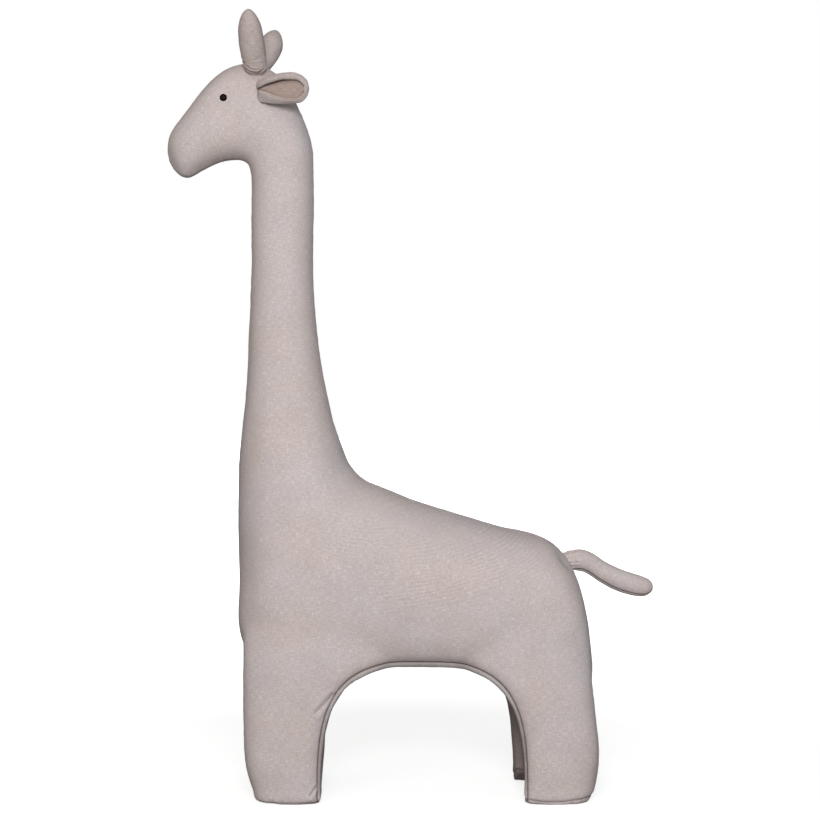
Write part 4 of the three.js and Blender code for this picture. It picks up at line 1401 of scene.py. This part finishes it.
def eye_gloss():
    material, n = new_material("eye_gloss")
    grain = n.noise(n.place(), 1 / 0.0007, 2)
    colour = n.blend(n.remap(grain, 0.3, 0.7), (0.0055, 0.0035, 0.003, 1), (0.009, 0.006, 0.005, 1))
    normal = n.bump(0.05, 0.0001, grain)
    inputs = {"Base Color": colour, "Roughness": 0.4, "Specular IOR Level": 0.04, "Normal": normal}
    n.surface(inputs)
    return material


# Light: a soft lamp above the camera that looks level, two suns, and a weak fill from all round
KEY_PLACE = (0.05, -2.6, 1.12)
KEY_SIZE = 0.7
KEY_POWER = 47.5
SUNS = (  # name, power, angle in degrees, and the way towards each
    ("high", 0.42, 22.0, (-0.25, -1.1, 1.0)),
    ("behind", 1.4, 8.0, (0, 1, 0.1)),
)
FILL_STRENGTH = 0.22


def make_light():
    scene = bpy.context.scene
    scene.view_settings.view_transform = "Standard"
    world = bpy.data.worlds.new("studio")
    world.use_nodes = True
    world.node_tree.nodes.clear()
    n = Nodes(world.node_tree)
    path = n.add("ShaderNodeLightPath").outputs
    seen = n.math("MAXIMUM", path["Is Camera Ray"], path["Is Glossy Ray"])
    seen = n.math("MAXIMUM", seen, path["Is Transmission Ray"])
    white = n.add("ShaderNodeBackground", {"Color": (1, 1, 1, 1), "Strength": 1.0}).outputs[0]
    sideways = n.split(n.add("ShaderNodeTexCoord").outputs["Generated"])[0]
    tint = n.blend(n.remap(sideways, -0.6, 0.6), (1.0, 0.92, 0.8, 1), (0.93, 1.0, 1.08, 1))
    fill = n.add("ShaderNodeBackground", {"Color": tint, "Strength": FILL_STRENGTH}).outputs[0]
    both = n.add("ShaderNodeMixShader", {0: seen, 1: fill, 2: white}).outputs[0]
    n.add("ShaderNodeOutputWorld", {"Surface": both})
    scene.world = world

    lamp = bpy.data.lights.new("key", "AREA")
    lamp.energy = KEY_POWER
    lamp.size = KEY_SIZE
    key = linked("key", lamp)
    key.location = KEY_PLACE
    key.rotation_euler = (math.pi / 2, 0, 0)
    key.visible_camera = False

    for label, power, angle, towards in SUNS:
        lamp = bpy.data.lights.new(label, "SUN")
        lamp.energy = power
        lamp.angle = math.radians(angle)
        sun = linked(label, lamp)
        sun.rotation_euler = Vector(towards).to_track_quat("Z", "Y").to_euler()


FLOOR_GLOW = 1.71  # as the camera sees it, so that the floor is white and its shadows stay faint
FLOOR_GLOW_SHARE = 0.44  # near the toy
FLOOR_GLOW_REACH = (0.6, 2.2)  # between which the share rises to 1
FLOOR_PAINT = (0.4, 0.9)  # as light and as the camera see it
FLOOR_REACH = 30.0


def make_floor():
    reach = FLOOR_REACH
    corners = [(-reach, -reach, 0), (reach, -reach, 0), (reach, reach, 0), (-reach, reach, 0)]
    floor = piece_from("floor", corners, [(0, 1, 2, 3)], smooth=False)
    material, n = new_material("floor")
    seen = n.add("ShaderNodeLightPath").outputs["Is Camera Ray"]
    level = n.remap(seen, 0.0, 1.0, *FLOOR_PAINT)
    paint = n.add("ShaderNodeBsdfDiffuse", {"Color": n.join(level, level, level)}).outputs[0]
    glow = n.add("ShaderNodeEmission", {"Color": (1, 1, 1, 1), "Strength": FLOOR_GLOW}).outputs[0]
    near = n.remap(n.length(n.place()), *FLOOR_GLOW_REACH, FLOOR_GLOW_SHARE, 1.0)
    share = n.times(seen, near)
    both = n.add("ShaderNodeMixShader", {0: share, 1: paint, 2: glow}).outputs[0]
    n.add("ShaderNodeOutputMaterial", {"Surface": both})
    floor.data.materials.append(material)


def make_camera():
    data = bpy.data.cameras.new("camera")
    data.sensor_width = SENSOR_WIDTH
    data.lens = FOCAL_PIXELS / PICTURE_WIDTH * SENSOR_WIDTH
    camera = linked("camera", data)
    camera.location = (0, -CAMERA_DISTANCE, CAMERA_HEIGHT)
    camera.rotation_euler = (math.pi / 2, 0, 0)
    bpy.context.scene.camera = camera


LINEN = linen("linen", (0.58, 0.513, 0.512, 1), (0.582, 0.499, 0.475, 1), (0.71, 0.655, 0.645, 1))
HORN_LINEN = linen("horn_linen", (0.49, 0.42, 0.405, 1), (0.475, 0.4, 0.37, 1), (0.61, 0.55, 0.535, 1))
EAR_LINEN = linen("ear_linen", (0.5, 0.425, 0.405, 1), (0.49, 0.41, 0.375, 1), (0.63, 0.57, 0.55, 1))
LINING = linen("ear_lining", (0.4, 0.305, 0.27, 1), (0.385, 0.285, 0.245, 1), (0.5, 0.4, 0.37, 1))
EYE_GLOSS = eye_gloss()

make_camera()
make_light()
make_floor()
dress_inner_parts()
make_body()
make_tail()
for name, side in SIDES.items():
    make_horn(name, side)
    make_ear(name, side)
    make_eye(name, side)
